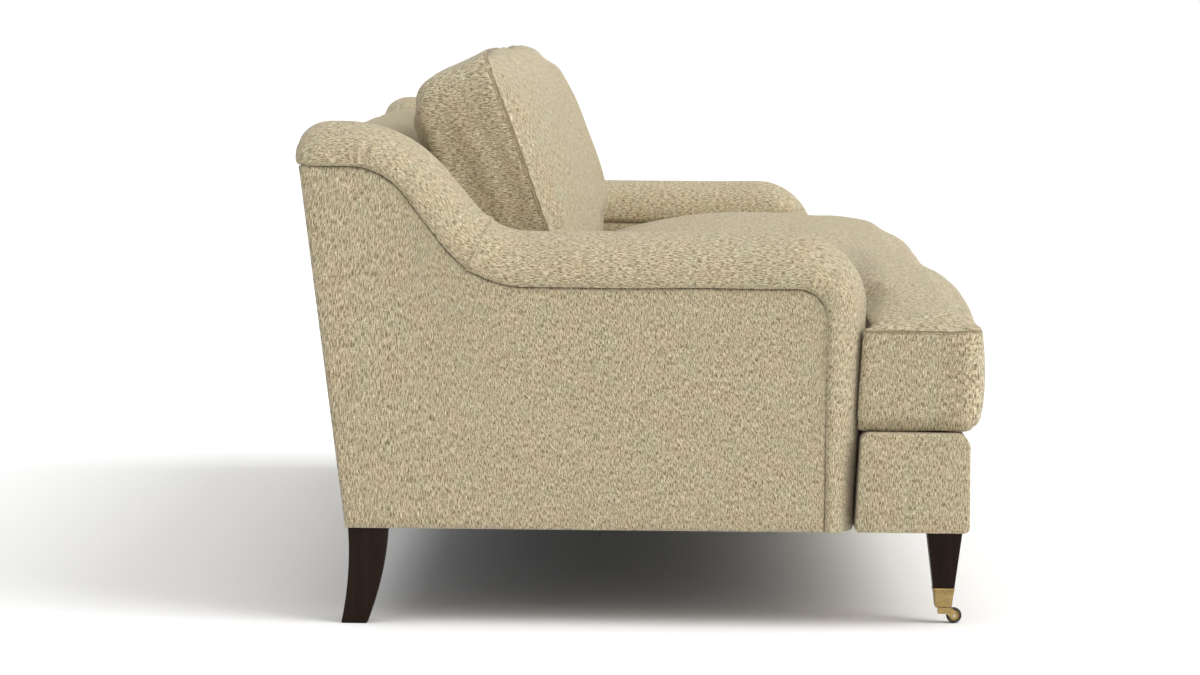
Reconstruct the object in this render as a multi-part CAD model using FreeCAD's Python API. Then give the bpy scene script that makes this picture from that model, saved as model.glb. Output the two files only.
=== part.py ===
"""English roll arm sofa, in millimetres.

X runs across the width, the front faces -Y and +Z is up. The origin is on the floor, under the
middle of the sofa. "Left" is the -X side, the one on the left of somebody who faces the sofa.
"""
import FreeCAD, Part

import math
import os

Vector = FreeCAD.Vector
OUT = "parts"

# Clearances
FIT = 0.3                   # between a soft part and what it lies against
SNUG = 0.2                  # between a wooden or metal part and its socket
RUN = 0.08                  # radial, a shaft in its bearing

# The body
WIDTH = 2134.0              # over the arm rolls
BASE_Z = 140.0              # underside of the upholstery
REAR_Y = 421.0              # outside back, at the underside
RAKE = 7.5                  # lean of the outside back, degrees
DECK_Z = 284.0              # top of the seat deck and of the front border
DUST_COVER = 1.4
PLATE_THICK = 3.0
FRAME_Z = BASE_Z + DUST_COVER + PLATE_THICK     # underside of the timber

# The arms
ARM_THICK = 165.0           # over the roll
PANEL_RECESS = 4.0          # outer and inner panels behind the roll's edge
ARM_SEAM_Z = 491.5          # seam under the roll, along the arm
WING_SEAM_Z = 662.0         # the same seam, on the wing
ARM_ROLL_RISE = 75.8        # crest of the roll above the seam, along the arm
WING_ROLL_RISE = 61.4       # the same, on the wing
SLOPE = 52.5                # fall of the wing into the arm, degrees
WING_SEAM_END_Y = 418.0     # where the wing's seam starts to fall
WING_CREST_END_Y = 427.0    # where the wing's crest starts to fall
SEAM_CONVEX_R = 100.0
SEAM_CONCAVE_R = 152.0
CREST_CONVEX_R = 195.0
CREST_CONCAVE_R = 97.0
ARM_FRONT_Y = -227.0        # where seam and crest turn down at the front of the arm
SEAM_FRONT_R = 44.0
CREST_FRONT_R = 107.0
CREST_SHIFT = 4.0           # centre of the crest's turn, behind the seam's
BAND_FOOT_RISE = 42.0       # how far the front band stands out at its foot
ROLL_JOIN_ANGLE = 33.5      # place of the cross seam on the concave sweep, degrees
EAR_OVERHANG = 8.0          # wing roll behind the outside back
EAR_ROUND = 51.0            # length of the rounding at the back of the wing roll
EAR_END_HEIGHT = 0.28       # shares of the roll's height and width at its rear end
EAR_END_WIDTH = 0.80
ROLL_LAP = 3.0              # the roll's chord below the seam, before its seat is cut
ROLL_FACETS = 12            # facets over the roll
BEND_STEP = 12.0            # largest turn between two sections of the roll, degrees

# Layers of the arm, from outside to inside
PANEL_THICK = 12.0
BOARD_THICK = 18.0
INNER_PAD_THICK = 25.0

# The front border
BORDER_FRONT_Y = -478.0
BORDER_WALL = 12.0
BORDER_GAP = 0.6            # between border and the arm's front band
BORDER_ROUND = 11.0

# The timber frame
FRONT_RAIL_THICK = 22.0
SIDE_RAIL_THICK = 28.0
REAR_RAIL_THICK = 28.0
SEAT_BACK_RAIL_WIDTH = 40.0
SEAT_BACK_RAIL_SETBACK = 3.0
STRETCHER_WIDTH = 40.0
STRETCHER_HEIGHT = 56.0
CORNER_BLOCK_HEIGHT = 60.0
CORNER_BLOCK_LENGTH = 80.0
POST_WIDTH = 40.0
ARM_RAIL_HEIGHT = 36.0
RIB_THICK = 24.0
RIB_TOP_Z = 630.0
RIB_MIDDLE_X = 310.0
TOP_RAIL_THICK = 25.0

# Webbing, deck and back
WEB_THICK = 2.8
WEB_WIDTH = 50.0
WEB_LONG_COUNT = 14
WEB_CROSS_COUNT = 5
BACK_WEB_COUNT = 4
DECK_THICK = 12.0
BACK_LEAN = 20.3            # lean of the inside back, degrees
INSIDE_BACK_Y = 183.0       # inside back, at the deck
BACK_PAD_THICK = 30.0
BACK_PANEL_THICK = 12.0
BACK_ROLL_CREST_Y = 455.0
BACK_ROLL_CREST_Z = 702.0

# Seat cushions
SEAT_SEAM_Z = 432.6         # seam at the top of the boxing
SEAT_FRONT_Y = -497.7
SEAT_EAR_BACK_Y = -335.0
SEAT_EAR_INSET = 15.0       # ear behind the roll's outer edge
SEAT_SIDE_GAP = 3.0         # cushion beside the arm roll
SEAT_MIDDLE_GAP = 2.4       # between the two cushions
SEAT_REAR_GAP = 1.6         # in front of the inside back, at the deck
SEAT_CROWN = 89.0           # crown above the seam
SEAT_CROWN_Y = -177.0       # where the crown is highest
SEAT_FULLNESS = 2.3         # exponent of the crown's front, 2 is an ellipse
SEAT_CORNER = 26.0
SEAT_FOOT_BEVEL = 7.0
SEAT_PULL = 4.0             # how far the sides draw in between the corners
CROWN_LAP = 3.0             # the crown's chord below the seam, before they are joined
CROWN_RIM = 2.0             # least height of a crown at its ends
COVER_THICK = 14.0
CORE_HEADROOM = 8.0

# Where the back cushion rests on the seat cushion
REST_FRONT_Y = 60.0
REST_Z = 474.0              # at REST_FRONT_Y
REST_SLOPE = 14.0           # degrees, falling to the rear

# Back cushions
BOXING = 100.0
BACK_CROWN = 70.0           # front crown in front of the boxing
BACK_BULGE = 40.0           # rear bulge behind the boxing
BACK_TOP = 348.0            # top of the boxing, up the slope from its foot
BACK_FOOT_Z = 460.0         # height from which BACK_TOP is measured
BACK_TOP_ARCH = 9.0
BACK_CORNER = 38.0
BACK_PULL = 6.0
BACK_SKIRT = 45.0           # length below the foot, before the seat is cut

# Legs
FRONT_LEG_X = 981.0
FRONT_LEG_Y = -447.0
FRONT_LEG_TOP = 52.0
REAR_LEG_OUTSET = 13.0      # outer face inside the roll's outer edge
REAR_LEG_WIDTH = 54.0
REAR_LEG_FOOT_WIDTH = 42.0
REAR_LEG_FRONT_TOP_Y = 361.0
REAR_LEG_BACK_TOP_Y = 417.5
REAR_LEG_FRONT_FOOT_Y = 389.5
REAR_LEG_BACK_FOOT_Y = 427.0
REAR_LEG_BELLY = 6.0        # bow of the front edge
REAR_LEG_HOLLOW = 5.0       # hollow of the rear edge
LEG_PLATE = 44.0
LEG_BOLT_R = 4.0
LEG_BOLT_DOWN = 32.0
LEG_BOLT_UP = 40.0
FRONT_BOLT_SHIFT_Y = 13.0   # bolt behind the middle of the front leg
REAR_BOLT_SHIFT_X = 9.0     # bolt inboard of the middle of the rear leg
REAR_BOLT_SHIFT_Y = 4.0     # bolt in front of the middle of the rear leg

# Casters
CUP_TOP_Z = 52.0
CUP_BOTTOM_Z = 23.2
CUP_TOP_SIZE = 31.0
CUP_BOTTOM_SIZE = 24.6
CUP_WALL = 1.4
CUP_FLOOR = 3.0
TENON_GAP = 3.6             # leg above the floor of its cup, room for the pin's head
PIN_R = 2.5
PIN_HEAD_R = 4.0
PIN_HEAD = 1.6
WHEEL_R = 11.3
TYRE_DEPTH = 2.0
WHEEL_WIDTH = 14.0
WHEEL_TRAIL = 16.0
AXLE_R = 1.75
AXLE_PROUD = 0.8            # riveted end outside the cheek
HORN_GAP = 0.3              # under the cup
HORN_THICK = 9.0
HORN_REAR = 7.5             # behind the swivel axis
HORN_SHOULDER = 4.5         # in front of the swivel axis, where the horn starts to fall
HORN_BROW = 4.9             # the fall's middle, behind the horn's nose
HORN_EYE_R = 4.7
HORN_NOSE = 150.0            # where the horn meets its eye above and below, degrees
HORN_CHIN = 300.0
CHEEK_THICK = 2.2
CHEEK_GAP = 0.7
WHEEL_CLEAR = 0.8


def cos(degrees):
    return math.cos(math.radians(degrees))


def sin(degrees):
    return math.sin(math.radians(degrees))


def tan(degrees):
    return math.tan(math.radians(degrees))


# Places worked out from the sizes
HALF = WIDTH / 2
ROLL_IN_X = HALF - ARM_THICK
ROLL_MID_X = HALF - ARM_THICK / 2
PANEL_OUT_X = HALF - PANEL_RECESS
PANEL_IN_X = PANEL_OUT_X - PANEL_THICK
BOARD_OUT_IN_X = PANEL_IN_X - BOARD_THICK
PAD_IN_X = ROLL_IN_X + PANEL_RECESS
PAD_OUT_X = PAD_IN_X + INNER_PAD_THICK
BOARD_IN_OUT_X = PAD_OUT_X + BOARD_THICK
SEAM_FRONT_Y = ARM_FRONT_Y - SEAM_FRONT_R
CREST_FRONT_Y = ARM_FRONT_Y + CREST_SHIFT - CREST_FRONT_R
ARM_CREST_Z = ARM_SEAM_Z + ARM_ROLL_RISE
WING_CREST_Z = WING_SEAM_Z + WING_ROLL_RISE
BAND_TOP_Z = ARM_CREST_Z - CREST_FRONT_R
BAND_FOOT_Y = SEAM_FRONT_Y - BAND_FOOT_RISE
WEB_Z = DECK_Z - DECK_THICK - FIT - 2 * WEB_THICK
REST_CLEAR = FIT / cos(REST_SLOPE)
LEG_TOP_Z = BASE_Z + DUST_COVER
REAR_LEG_X = HALF - REAR_LEG_OUTSET - REAR_LEG_WIDTH / 2
WHEEL_Y = FRONT_LEG_Y - WHEEL_TRAIL
HORN_TOP_Z = CUP_BOTTOM_Z - HORN_GAP
CHEEK_IN_X = WHEEL_WIDTH / 2 + CHEEK_GAP
CHEEK_OUT_X = CHEEK_IN_X + CHEEK_THICK


def rear_y(z, inset=0.0):
    """Y of the raked outside back at a height, or of a plane set in from it."""
    return REAR_Y + (z - BASE_Z) * tan(RAKE) - inset / cos(RAKE)


def inside_y(z, inset=0.0):
    """Y of the inside back's front face at a height, or of a plane set back behind it."""
    return INSIDE_BACK_Y + (z - DECK_Z) * tan(BACK_LEAN) + inset / cos(BACK_LEAN)


def rest_z(y, lift=0.0):
    """Height of the plane where the back cushion rests on the seat cushion."""
    return REST_Z - (y - REST_FRONT_Y) * tan(REST_SLOPE) + lift


def band_y(z):
    """Y of the front band's crest, below the turn at the front of the arm."""
    share = (z - BASE_Z) / (BAND_TOP_Z - BASE_Z)
    return BAND_FOOT_Y + share * (CREST_FRONT_Y - BAND_FOOT_Y)


# Drawing helpers
def box(x0, x1, y0, y1, z0, z1):
    """A box from its limits along each axis."""
    return Part.makeBox(x1 - x0, y1 - y0, z1 - z0, Vector(x0, y0, z0))


def rod(centre, radius, length, axis):
    """A cylinder that is centred on a point."""
    start = centre - axis * (length / 2)
    return Part.makeCylinder(radius, length, start, axis)


def both_sides(shape):
    """The shape and its mirror image on the other side of the sofa."""
    return shape, shape.mirror(Vector(0, 0, 0), Vector(1, 0, 0))


def mirrored_group(shapes):
    """One compound of the shapes and their mirror images."""
    solids = []
    for shape in shapes:
        solids.extend(both_sides(shape))
    return Part.makeCompound(solids)


class Outline:
    """A closed outline of lines and arcs in the YZ plane, given as (y, z) points."""

    def __init__(self, start):
        self.start = start
        self.here = start
        self.edges = []

    def line(self, end):
        self.edges.append(Part.makeLine(Vector(0, *self.here), Vector(0, *end)))
        self.here = end

    def arc(self, middle, end):
        points = [Vector(0, *point) for point in (self.here, middle, end)]
        self.edges.append(Part.Arc(*points).toShape())
        self.here = end

    def turn(self, centre, radius, start, end):
        """An arc about a centre, between two angles from +Y towards +Z."""
        self.arc(on_circle(centre, radius, (start + end) / 2), on_circle(centre, radius, end))

    def solid(self, x0, x1):
        """The outline closed and carried from x0 to x1."""
        if math.dist(self.here, self.start) > 1e-6:
            self.line(self.start)
        face = Part.Face(Part.Wire(self.edges))
        face.translate(Vector(x0, 0, 0))
        return face.extrude(Vector(x1 - x0, 0, 0))


def polygon(points, x0, x1):
    """A prism along X on a polygon of (y, z) points."""
    outline = Outline(points[0])
    for point in points[1:]:
        outline.line(point)
    return outline.solid(x0, x1)


def on_circle(centre, radius, angle):
    return centre[0] + radius * cos(angle), centre[1] + radius * sin(angle)


def arc_on_chord(left, top, right):
    """A closed wire: an arc from left over the top to right, and its chord."""
    return Part.Wire([Part.Arc(left, top, right).toShape(), Part.makeLine(right, left)])


def facets_on_chord(left, top, right, count):
    """The same wire with the arc in even facets, which keeps a swept roll light."""
    arc = Part.Arc(left, top, right)
    span = arc.LastParameter - arc.FirstParameter
    points = [arc.value(arc.FirstParameter + span * index / count) for index in range(count + 1)]
    return Part.makePolygon([*points, points[0]])


def tapered_block(x, y, low_z, high_z, low_size, high_size):
    """An upright block centred on (x, y) that tapers between two sizes (x, y)."""
    low_x, low_y = (size / 2 for size in low_size)
    high_x, high_y = (size / 2 for size in high_size)
    wedge = Part.makeWedge(-low_x, 0, -low_y, -high_y, -high_x,
                           low_x, high_z - low_z, low_y, high_y, high_x)
    wedge.rotate(Vector(0, 0, 0), Vector(1, 0, 0), 90)
    wedge.translate(Vector(x, y, low_z))
    return wedge


# The two lines of the arm: the seam under the roll and the crest over it
class ArmLine:
    """A line that is level on the wing, falls in an S to the arm and turns down at the front."""

    def __init__(self, wing_z, wing_end_y, arm_z, convex_r, concave_r, front_centre_y, front_r):
        self.wing_z = wing_z
        self.wing_end_y = wing_end_y
        self.arm_z = arm_z
        self.convex_r = convex_r
        self.concave_r = concave_r
        self.front_r = front_r
        bend = (convex_r + concave_r) * (1 - cos(SLOPE))
        straight = (wing_z - arm_z - bend) / sin(SLOPE)
        run = (convex_r + concave_r) * sin(SLOPE) + straight * cos(SLOPE)
        self.convex = (wing_end_y, wing_z - convex_r)
        self.concave = (wing_end_y - run, arm_z + concave_r)
        self.front = (front_centre_y, arm_z - front_r)

    def on_convex(self, angle):
        """Point where the line has turned down by an angle, after the level wing."""
        return on_circle(self.convex, self.convex_r, 90 + angle)

    def on_concave(self, angle):
        """Point where the line still falls by an angle, before the level arm."""
        return on_circle(self.concave, self.concave_r, 270 + angle)

    def on_front(self, angle):
        """Point where the line has turned down by an angle at the front of the arm."""
        return on_circle(self.front, self.front_r, 90 + angle)


SEAM = ArmLine(WING_SEAM_Z, WING_SEAM_END_Y, ARM_SEAM_Z, SEAM_CONVEX_R, SEAM_CONCAVE_R,
               ARM_FRONT_Y, SEAM_FRONT_R)
CREST = ArmLine(WING_CREST_Z, WING_CREST_END_Y, ARM_CREST_Z, CREST_CONVEX_R, CREST_CONCAVE_R,
                CREST_FRONT_Y + CREST_FRONT_R, CREST_FRONT_R)


def side_solid(inset, bottom_z, x0, x1):
    """The side of the arm under the roll, set in from its outline, as a prism along X."""
    wing_z = SEAM.wing_z - inset
    outline = Outline((rear_y(bottom_z, inset), bottom_z))
    outline.line((rear_y(wing_z, inset), wing_z))
    outline.line((SEAM.wing_end_y, wing_z))
    outline.turn(SEAM.convex, SEAM.convex_r - inset, 90, 90 + SLOPE)
    outline.line(on_circle(SEAM.concave, SEAM.concave_r + inset, 270 + SLOPE))
    outline.turn(SEAM.concave, SEAM.concave_r + inset, 270 + SLOPE, 270)
    outline.line((SEAM.front[0], SEAM.arm_z - inset))
    outline.turn(SEAM.front, SEAM.front_r - inset, 90, 180)
    outline.line((SEAM_FRONT_Y + inset, bottom_z))
    return outline.solid(x0, x1)


def roll_section(seam, crest, width_share=1.0):
    """A section of the roll: a faceted arc over the crest, on a chord a little below the seam."""
    half = ARM_THICK / 2 * width_share
    middle = Vector(-ROLL_MID_X, 0, 0)
    reach = Vector(half, 0, 0)
    seam_point = Vector(0, *seam) + middle
    top = Vector(0, *crest) + middle
    foot = seam_point - (top - seam_point).normalize() * ROLL_LAP
    return facets_on_chord(foot - reach, top, foot + reach, ROLL_FACETS)


def seated_roll(body):
    """The roll with its underside cut to the top of the arm's side."""
    outer = -HALF - ROLL_LAP
    inner = -ROLL_IN_X + ROLL_LAP
    seat = side_solid(0.0, BASE_Z - ROLL_LAP, outer, inner)
    ledge = box(outer, inner, SEAM.wing_end_y, rear_y(WING_SEAM_Z) + EAR_ROUND,
                WING_SEAM_Z - 2 * ROLL_LAP, WING_SEAM_Z)
    return body.cut(seat.fuse(ledge))


def ear_sections():
    """Sections of the rounded end behind the wing, from the rear."""
    end_y = rear_y(WING_SEAM_Z) + EAR_OVERHANG
    sections = []
    for share in (0.0, 0.08, 0.28, 0.6, 1.0):
        y = end_y - EAR_ROUND * share
        swell = math.sqrt(1 - (1 - share) ** 2)
        height = EAR_END_HEIGHT + (1 - EAR_END_HEIGHT) * swell
        width = EAR_END_WIDTH + (1 - EAR_END_WIDTH) * swell
        sections.append(roll_section((y, WING_SEAM_Z), (y, WING_SEAM_Z + WING_ROLL_RISE * height),
                                     width))
    return sections


def bend_sections(place, first, last):
    """Sections round a bend of the seam and crest, at even angles from first to last."""
    steps = math.ceil(abs(last - first) / BEND_STEP)
    sections = []
    for index in range(steps + 1):
        angle = first + (last - first) * index / steps
        sections.append(roll_section(getattr(SEAM, place)(angle), getattr(CREST, place)(angle)))
    return sections


def wing_rolls():
    """The roll over each wing, from its rounded rear end to the cross seam."""
    sections = ear_sections()
    sections += bend_sections("on_convex", 0, SLOPE)
    sections += bend_sections("on_concave", SLOPE, ROLL_JOIN_ANGLE)
    return mirrored_group([seated_roll(Part.makeLoft(sections, True, True))])


def arm_rolls():
    """The roll along each arm, from the cross seam to the foot of the front band."""
    sections = bend_sections("on_concave", ROLL_JOIN_ANGLE, 0)
    sections += bend_sections("on_front", 0, 90)
    sections.append(roll_section((SEAM_FRONT_Y, BASE_Z), (band_y(BASE_Z), BASE_Z)))
    return mirrored_group([seated_roll(Part.makeLoft(sections, True, True))])


def outer_arm_panel():
    return without_legs(side_solid(FIT, BASE_Z, -PANEL_OUT_X, -PANEL_IN_X))


def arm_board(x0, x1):
    """A plywood side of the arm, cut off in front of the outside back's panel."""
    board = side_solid(FIT, FRAME_Z, x0, x1)
    inset = BACK_PANEL_THICK + FIT
    top = WING_SEAM_Z + 1
    behind = polygon([(rear_y(BASE_Z, inset), BASE_Z), (rear_y(BASE_Z) + 1, BASE_Z),
                      (rear_y(top) + 1, top), (rear_y(top, inset), top)], x0 - 1, x1 + 1)
    return board.cut(behind)


def outer_arm_board():
    return arm_board(-PANEL_IN_X, -BOARD_OUT_IN_X)


def inner_arm_board():
    return arm_board(-BOARD_IN_OUT_X, -PAD_OUT_X)


def inner_arm_pad():
    """The padded inside of the arm, above the deck and in front of the inside back."""
    pad = side_solid(FIT, DECK_Z + FIT, -PAD_OUT_X, -PAD_IN_X)
    top = WING_CREST_Z
    behind = polygon([(inside_y(DECK_Z, -FIT), DECK_Z), (rear_y(top), DECK_Z),
                      (rear_y(top), top), (inside_y(top, -FIT), top)],
                     -PAD_OUT_X - 1, -PAD_IN_X + 1)
    return pad.cut(behind)


def arm_spacers():
    """The post, rail and rear post that hold the two boards of an arm apart."""
    x0 = -BOARD_OUT_IN_X
    x1 = -BOARD_IN_OUT_X
    front_y = SEAM_FRONT_Y + FIT
    post_top = SEAM.front[1]
    rail_top = ARM_SEAM_Z - FIT
    front = box(x0, x1, front_y, front_y + POST_WIDTH, FRAME_Z, post_top)
    rail = box(x0, x1, SEAM.front[0], SEAM.concave[0], rail_top - ARM_RAIL_HEIGHT, rail_top)
    low = FRAME_Z + CORNER_BLOCK_HEIGHT
    high = WING_SEAM_Z - FIT
    inset = PANEL_THICK + FIT
    rear = polygon([(rear_y(low, inset + POST_WIDTH), low), (rear_y(low, inset), low),
                    (rear_y(high, inset), high), (rear_y(high, inset + POST_WIDTH), high)],
                   x0, x1)
    return Part.makeCompound([front, rail, rear])


# The front border and its timber
def front_border():
    """The upholstered block across the front, hollow for the rails behind its cloth."""
    foot = (band_y(BASE_Z) - BORDER_GAP, BASE_Z)
    head = (band_y(DECK_Z) - BORDER_GAP, DECK_Z)
    block = polygon([(BORDER_FRONT_Y, BASE_Z), (BORDER_FRONT_Y, DECK_Z), head, foot],
                    -PANEL_OUT_X, PANEL_OUT_X)
    soft = []
    for edge in block.Edges:
        if max(vertex.Z for vertex in edge.Vertexes) > BASE_Z + 1:
            soft.append(edge)
    block = block.makeFillet(BORDER_ROUND, soft)
    top = DECK_Z - BORDER_WALL
    cavity = box(-PANEL_OUT_X + BORDER_WALL, PANEL_OUT_X - BORDER_WALL,
                 BORDER_FRONT_Y + BORDER_WALL, head[0] - BORDER_WALL, BASE_Z - 1, top)
    doorway = box(-PAD_OUT_X, PAD_OUT_X, head[0] - BORDER_WALL - 1, foot[0] + 1, BASE_Z - 1, top)
    return without_legs(block.cut(cavity.fuse(doorway)))


BORDER_IN_X = PANEL_OUT_X - BORDER_WALL
BORDER_IN_FRONT_Y = BORDER_FRONT_Y + BORDER_WALL
BORDER_IN_REAR_Y = band_y(DECK_Z) - BORDER_GAP - BORDER_WALL
FRONT_RAIL_REAR_Y = BORDER_IN_FRONT_Y + FIT + FRONT_RAIL_THICK
INNER_RAIL_REAR_Y = BORDER_IN_REAR_Y - FIT
INNER_RAIL_FRONT_Y = INNER_RAIL_REAR_Y - FRONT_RAIL_THICK
REAR_RAIL_REAR_Y = rear_y(FRAME_Z, BACK_PANEL_THICK + FIT)
REAR_RAIL_FRONT_Y = REAR_RAIL_REAR_Y - REAR_RAIL_THICK
SEAT_BACK_RAIL_Y = INSIDE_BACK_Y + SEAT_BACK_RAIL_SETBACK
SIDE_RAIL_OUT_X = ROLL_IN_X - FIT
SIDE_RAIL_IN_X = SIDE_RAIL_OUT_X - SIDE_RAIL_THICK


def front_rail():
    reach = BORDER_IN_X - FIT
    return box(-reach, reach, BORDER_IN_FRONT_Y + FIT, FRONT_RAIL_REAR_Y,
               FRAME_Z, DECK_Z - BORDER_WALL - FIT)


def rail_ends():
    reach = BORDER_IN_X - FIT
    end = box(-reach, -reach + FRONT_RAIL_THICK, FRONT_RAIL_REAR_Y, INNER_RAIL_FRONT_Y,
              FRAME_Z, DECK_Z - BORDER_WALL - FIT)
    return mirrored_group([end])


def inner_front_rail():
    reach = BORDER_IN_X - FIT
    return box(-reach, reach, INNER_RAIL_FRONT_Y, INNER_RAIL_REAR_Y, FRAME_Z, WEB_Z)


def side_rails():
    """Rails beside the arms, rebated in front where they pass the arm's front band."""
    front = box(-SIDE_RAIL_OUT_X, -SIDE_RAIL_IN_X, INNER_RAIL_REAR_Y, REAR_RAIL_FRONT_Y,
                FRAME_Z, WEB_Z)
    rear = box(-PAD_OUT_X, -SIDE_RAIL_OUT_X, SEAM_FRONT_Y + FIT, REAR_RAIL_FRONT_Y,
               FRAME_Z, WEB_Z)
    return mirrored_group([front.fuse(rear).removeSplitter()])


def rear_rail():
    return box(-PAD_OUT_X, PAD_OUT_X, REAR_RAIL_FRONT_Y, REAR_RAIL_REAR_Y, FRAME_Z, WEB_Z)


def seat_back_rail():
    return box(-SIDE_RAIL_IN_X, SIDE_RAIL_IN_X, SEAT_BACK_RAIL_Y, SEAT_BACK_RAIL_Y + SEAT_BACK_RAIL_WIDTH,
               FRAME_Z, WEB_Z)


def seat_stretchers():
    """Two timbers from front to back under the webbing, one each side of the middle."""
    bar = box(-RIB_MIDDLE_X - STRETCHER_WIDTH / 2, -RIB_MIDDLE_X + STRETCHER_WIDTH / 2,
              INNER_RAIL_REAR_Y, SEAT_BACK_RAIL_Y, FRAME_Z, FRAME_Z + STRETCHER_HEIGHT)
    return mirrored_group([bar])


def leg_bolt_places():
    """Where the bolts of the two left legs stand."""
    front = Vector(-FRONT_LEG_X, FRONT_LEG_Y + FRONT_BOLT_SHIFT_Y, LEG_TOP_Z)
    rear_leg_y = (REAR_LEG_FRONT_TOP_Y + REAR_LEG_BACK_TOP_Y) / 2
    rear = Vector(-REAR_LEG_X + REAR_BOLT_SHIFT_X, rear_leg_y - REAR_BOLT_SHIFT_Y, LEG_TOP_Z)
    return front, rear


def bolt_rod(place, extra=0.0):
    """A leg bolt, or with extra the hole for it."""
    length = LEG_BOLT_DOWN + LEG_BOLT_UP + 2 * extra
    return Part.makeCylinder(LEG_BOLT_R + extra, length,
                             place - Vector(0, 0, LEG_BOLT_DOWN + extra), Vector(0, 0, 1))


def corner_blocks():
    """Blocks above the legs: in the corners of the front rails, and between the arm boards."""
    front_bolt, rear_bolt = leg_bolt_places()
    x0 = -BORDER_IN_X + FIT + FRONT_RAIL_THICK
    front = box(x0, x0 + CORNER_BLOCK_LENGTH, FRONT_RAIL_REAR_Y, INNER_RAIL_FRONT_Y,
                FRAME_Z, FRAME_Z + CORNER_BLOCK_HEIGHT)
    rear_end = REAR_RAIL_REAR_Y
    rear = box(-BOARD_OUT_IN_X, -BOARD_IN_OUT_X, rear_end - CORNER_BLOCK_LENGTH, rear_end,
               FRAME_Z, FRAME_Z + CORNER_BLOCK_HEIGHT)
    return mirrored_group([front.cut(bolt_rod(front_bolt, SNUG)),
                           rear.cut(bolt_rod(rear_bolt, SNUG))])


def leg_plates():
    plates = []
    for place in leg_bolt_places():
        half = LEG_PLATE / 2
        plate = box(place.x - half, place.x + half, place.y - half, place.y + half,
                    LEG_TOP_Z, LEG_TOP_Z + PLATE_THICK)
        plates.append(plate.cut(bolt_rod(place, SNUG)))
    return mirrored_group(plates)


def leg_bolts():
    return mirrored_group([bolt_rod(place) for place in leg_bolt_places()])


# The back
def back_ribs():
    """Four boards on edge that give the back its two slopes."""
    front = BACK_PAD_THICK + WEB_THICK + 2 * FIT
    rear = BACK_PANEL_THICK + FIT
    ribs = []
    for x in (-PAD_OUT_X + RIB_THICK / 2, -RIB_MIDDLE_X):
        ribs.append(polygon([(inside_y(WEB_Z, front), WEB_Z), (rear_y(WEB_Z, rear), WEB_Z),
                             (rear_y(RIB_TOP_Z, rear), RIB_TOP_Z),
                             (inside_y(RIB_TOP_Z, front), RIB_TOP_Z)],
                            x - RIB_THICK / 2, x + RIB_THICK / 2))
    return mirrored_group(ribs)


BACK_BASE_Z = RIB_TOP_Z + TOP_RAIL_THICK        # where the top roll sits


def back_top_rail():
    front = BACK_PAD_THICK + WEB_THICK + 2 * FIT
    rear = BACK_PANEL_THICK + FIT
    return polygon([(inside_y(RIB_TOP_Z, front), RIB_TOP_Z), (rear_y(RIB_TOP_Z, rear), RIB_TOP_Z),
                    (rear_y(BACK_BASE_Z, rear), BACK_BASE_Z),
                    (inside_y(BACK_BASE_Z, front), BACK_BASE_Z)],
                   -ROLL_IN_X + FIT, ROLL_IN_X - FIT)


def back_webbing():
    """Bands across the front edges of the ribs."""
    front = BACK_PAD_THICK + FIT
    bands = []
    span = RIB_TOP_Z - WEB_Z - WEB_WIDTH
    for index in range(BACK_WEB_COUNT):
        low = WEB_Z + span * (index + 0.5) / BACK_WEB_COUNT
        high = low + WEB_WIDTH
        bands.append(polygon([(inside_y(low, front), low), (inside_y(low, front + WEB_THICK), low),
                              (inside_y(high, front + WEB_THICK), high),
                              (inside_y(high, front), high)],
                             -PAD_OUT_X + FIT, PAD_OUT_X - FIT))
    return Part.makeCompound(bands)


def inside_back_pad():
    low = DECK_Z + FIT
    high = BACK_BASE_Z
    return polygon([(inside_y(low), low), (inside_y(low, BACK_PAD_THICK), low),
                    (inside_y(high, BACK_PAD_THICK), high), (inside_y(high), high)],
                   -ROLL_IN_X + FIT, ROLL_IN_X - FIT)


def back_top_roll():
    """The roll along the top of the back: a tight arc behind its crest and a long one in front."""
    base_z = BACK_BASE_Z + FIT
    rise = BACK_ROLL_CREST_Z - base_z
    crest = (BACK_ROLL_CREST_Y, BACK_ROLL_CREST_Z)
    front = (inside_y(base_z), base_z)
    rear = (rear_y(base_z) - FIT, base_z)
    outline = Outline(rear)
    for end_y in (rear[0], front[0]):
        run = end_y - crest[0]
        radius = (run * run + rise * rise) / (2 * rise)
        centre = (crest[0], crest[1] - radius)
        foot_angle = math.degrees(math.atan2(base_z - centre[1], run))
        if end_y == rear[0]:
            outline.turn(centre, radius, foot_angle, 90)
        else:
            outline.turn(centre, radius, 90, foot_angle % 360)
    return outline.solid(-ROLL_IN_X + FIT, ROLL_IN_X - FIT)


def outside_back_panel():
    """The cloth panel behind: lower between the wings than behind them."""
    inset = BACK_PANEL_THICK
    low = BASE_Z
    high = WING_SEAM_Z - FIT
    reach = PANEL_IN_X - FIT
    panel = polygon([(rear_y(low), low), (rear_y(high), high), (rear_y(high, inset), high),
                     (rear_y(low, inset), low)], -reach, reach)
    notch = box(-ROLL_IN_X, ROLL_IN_X, rear_y(low), rear_y(high) + 1, BACK_BASE_Z, high + 1)
    return without_legs(panel.cut(notch))


# Webbing and deck
def seat_webbing_long():
    """Bands from front to back, nailed to the rails."""
    reach = SIDE_RAIL_IN_X - WEB_WIDTH
    bands = []
    for index in range(WEB_LONG_COUNT):
        x = -reach + 2 * reach * index / (WEB_LONG_COUNT - 1)
        bands.append(box(x - WEB_WIDTH / 2, x + WEB_WIDTH / 2, INNER_RAIL_FRONT_Y,
                         SEAT_BACK_RAIL_Y + SEAT_BACK_RAIL_WIDTH / 2, WEB_Z, WEB_Z + WEB_THICK))
    return Part.makeCompound(bands)


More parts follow.
